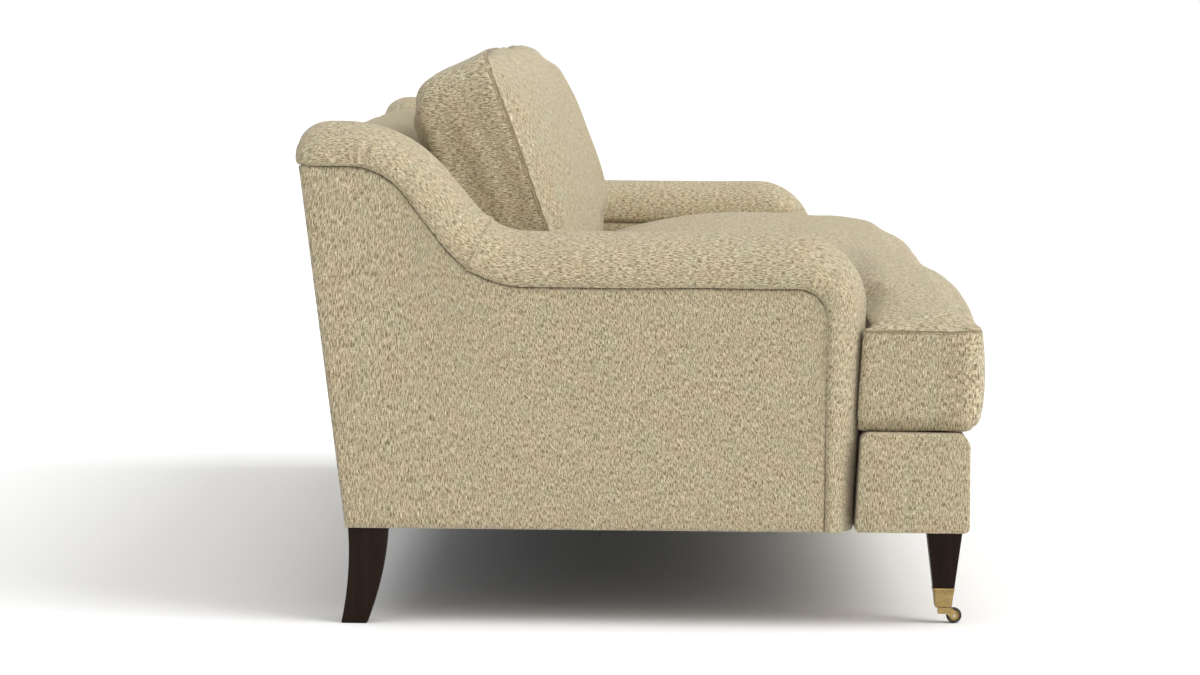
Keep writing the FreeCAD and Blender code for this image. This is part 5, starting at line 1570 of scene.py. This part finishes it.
class SOFA_OT_wing_rolls(PieceOperator, bpy.types.Operator):
    """Upholster the roll of each wing"""
    bl_idname = "sofa.wing_rolls"
    bl_label = "Wing Rolls"
    build = wing_rolls


class SOFA_OT_arm_panels(PieceOperator, bpy.types.Operator):
    """Cover the outside and inside of each arm"""
    bl_idname = "sofa.arm_panels"
    bl_label = "Arm Panels"
    build = arm_panels


class SOFA_OT_front_border(PieceOperator, bpy.types.Operator):
    """Upholster the block across the front"""
    bl_idname = "sofa.front_border"
    bl_label = "Front Border"
    build = front_border


class SOFA_OT_back_panels(PieceOperator, bpy.types.Operator):
    """Upholster the top, inside and outside of the back"""
    bl_idname = "sofa.back_panels"
    bl_label = "Back"
    build = back_panels


class SOFA_OT_seat_cushions(PieceOperator, bpy.types.Operator):
    """Fill the two seat cushions"""
    bl_idname = "sofa.seat_cushions"
    bl_label = "Seat Cushions"
    build = seat_cushions


class SOFA_OT_back_cushions(PieceOperator, bpy.types.Operator):
    """Fill the two back cushions"""
    bl_idname = "sofa.back_cushions"
    bl_label = "Back Cushions"
    build = back_cushions


class SOFA_OT_legs(PieceOperator, bpy.types.Operator):
    """Shape the four legs"""
    bl_idname = "sofa.legs"
    bl_label = "Legs"
    build = legs


class SOFA_OT_casters(PieceOperator, bpy.types.Operator):
    """Turn the brass casters"""
    bl_idname = "sofa.casters"
    bl_label = "Casters"
    build = casters


class SOFA_OT_stage(bpy.types.Operator):
    """Set up the floor, the lights and the camera"""
    bl_idname = "sofa.stage"
    bl_label = "Stage"

    def execute(self, context):
        stage(context.scene.sofa_colours)
        return {"FINISHED"}


OPERATORS = (
    SOFA_OT_finishes, SOFA_OT_inner_frame, SOFA_OT_webbing, SOFA_OT_deck, SOFA_OT_arm_rolls,
    SOFA_OT_wing_rolls, SOFA_OT_arm_panels, SOFA_OT_front_border, SOFA_OT_back_panels,
    SOFA_OT_seat_cushions, SOFA_OT_back_cushions, SOFA_OT_legs, SOFA_OT_casters, SOFA_OT_stage,
)


class SOFA_PT_panel(bpy.types.Panel):
    """Sizes, colours and pieces of the sofa"""
    bl_idname = "SOFA_PT_panel"
    bl_label = "Roll Arm Sofa"
    bl_space_type = "VIEW_3D"
    bl_region_type = "UI"
    bl_category = "Sofa"

    def draw(self, context):
        for group in (context.scene.sofa_shape, context.scene.sofa_colours):
            column = self.layout.column(align=True)
            for name in group.bl_rna.properties.keys():
                if name not in ("rna_type", "name"):
                    column.prop(group, name)
        column = self.layout.column(align=True)
        for operator in OPERATORS:
            column.operator(operator.bl_idname)


CLASSES = (SofaShape, SofaColours, *OPERATORS, SOFA_PT_panel)


def register():
    for item in CLASSES:
        bpy.utils.register_class(item)
    bpy.types.Scene.sofa_shape = bpy.props.PointerProperty(type=SofaShape)
    bpy.types.Scene.sofa_colours = bpy.props.PointerProperty(type=SofaColours)


def unregister():
    del bpy.types.Scene.sofa_colours
    del bpy.types.Scene.sofa_shape
    for item in reversed(CLASSES):
        bpy.utils.unregister_class(item)


def main():
    """Registers the add-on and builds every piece."""
    register()
    for operator in OPERATORS:
        category, name = operator.bl_idname.split(".")
        getattr(getattr(bpy.ops, category), name)()


if __name__ == "__main__":
    main()
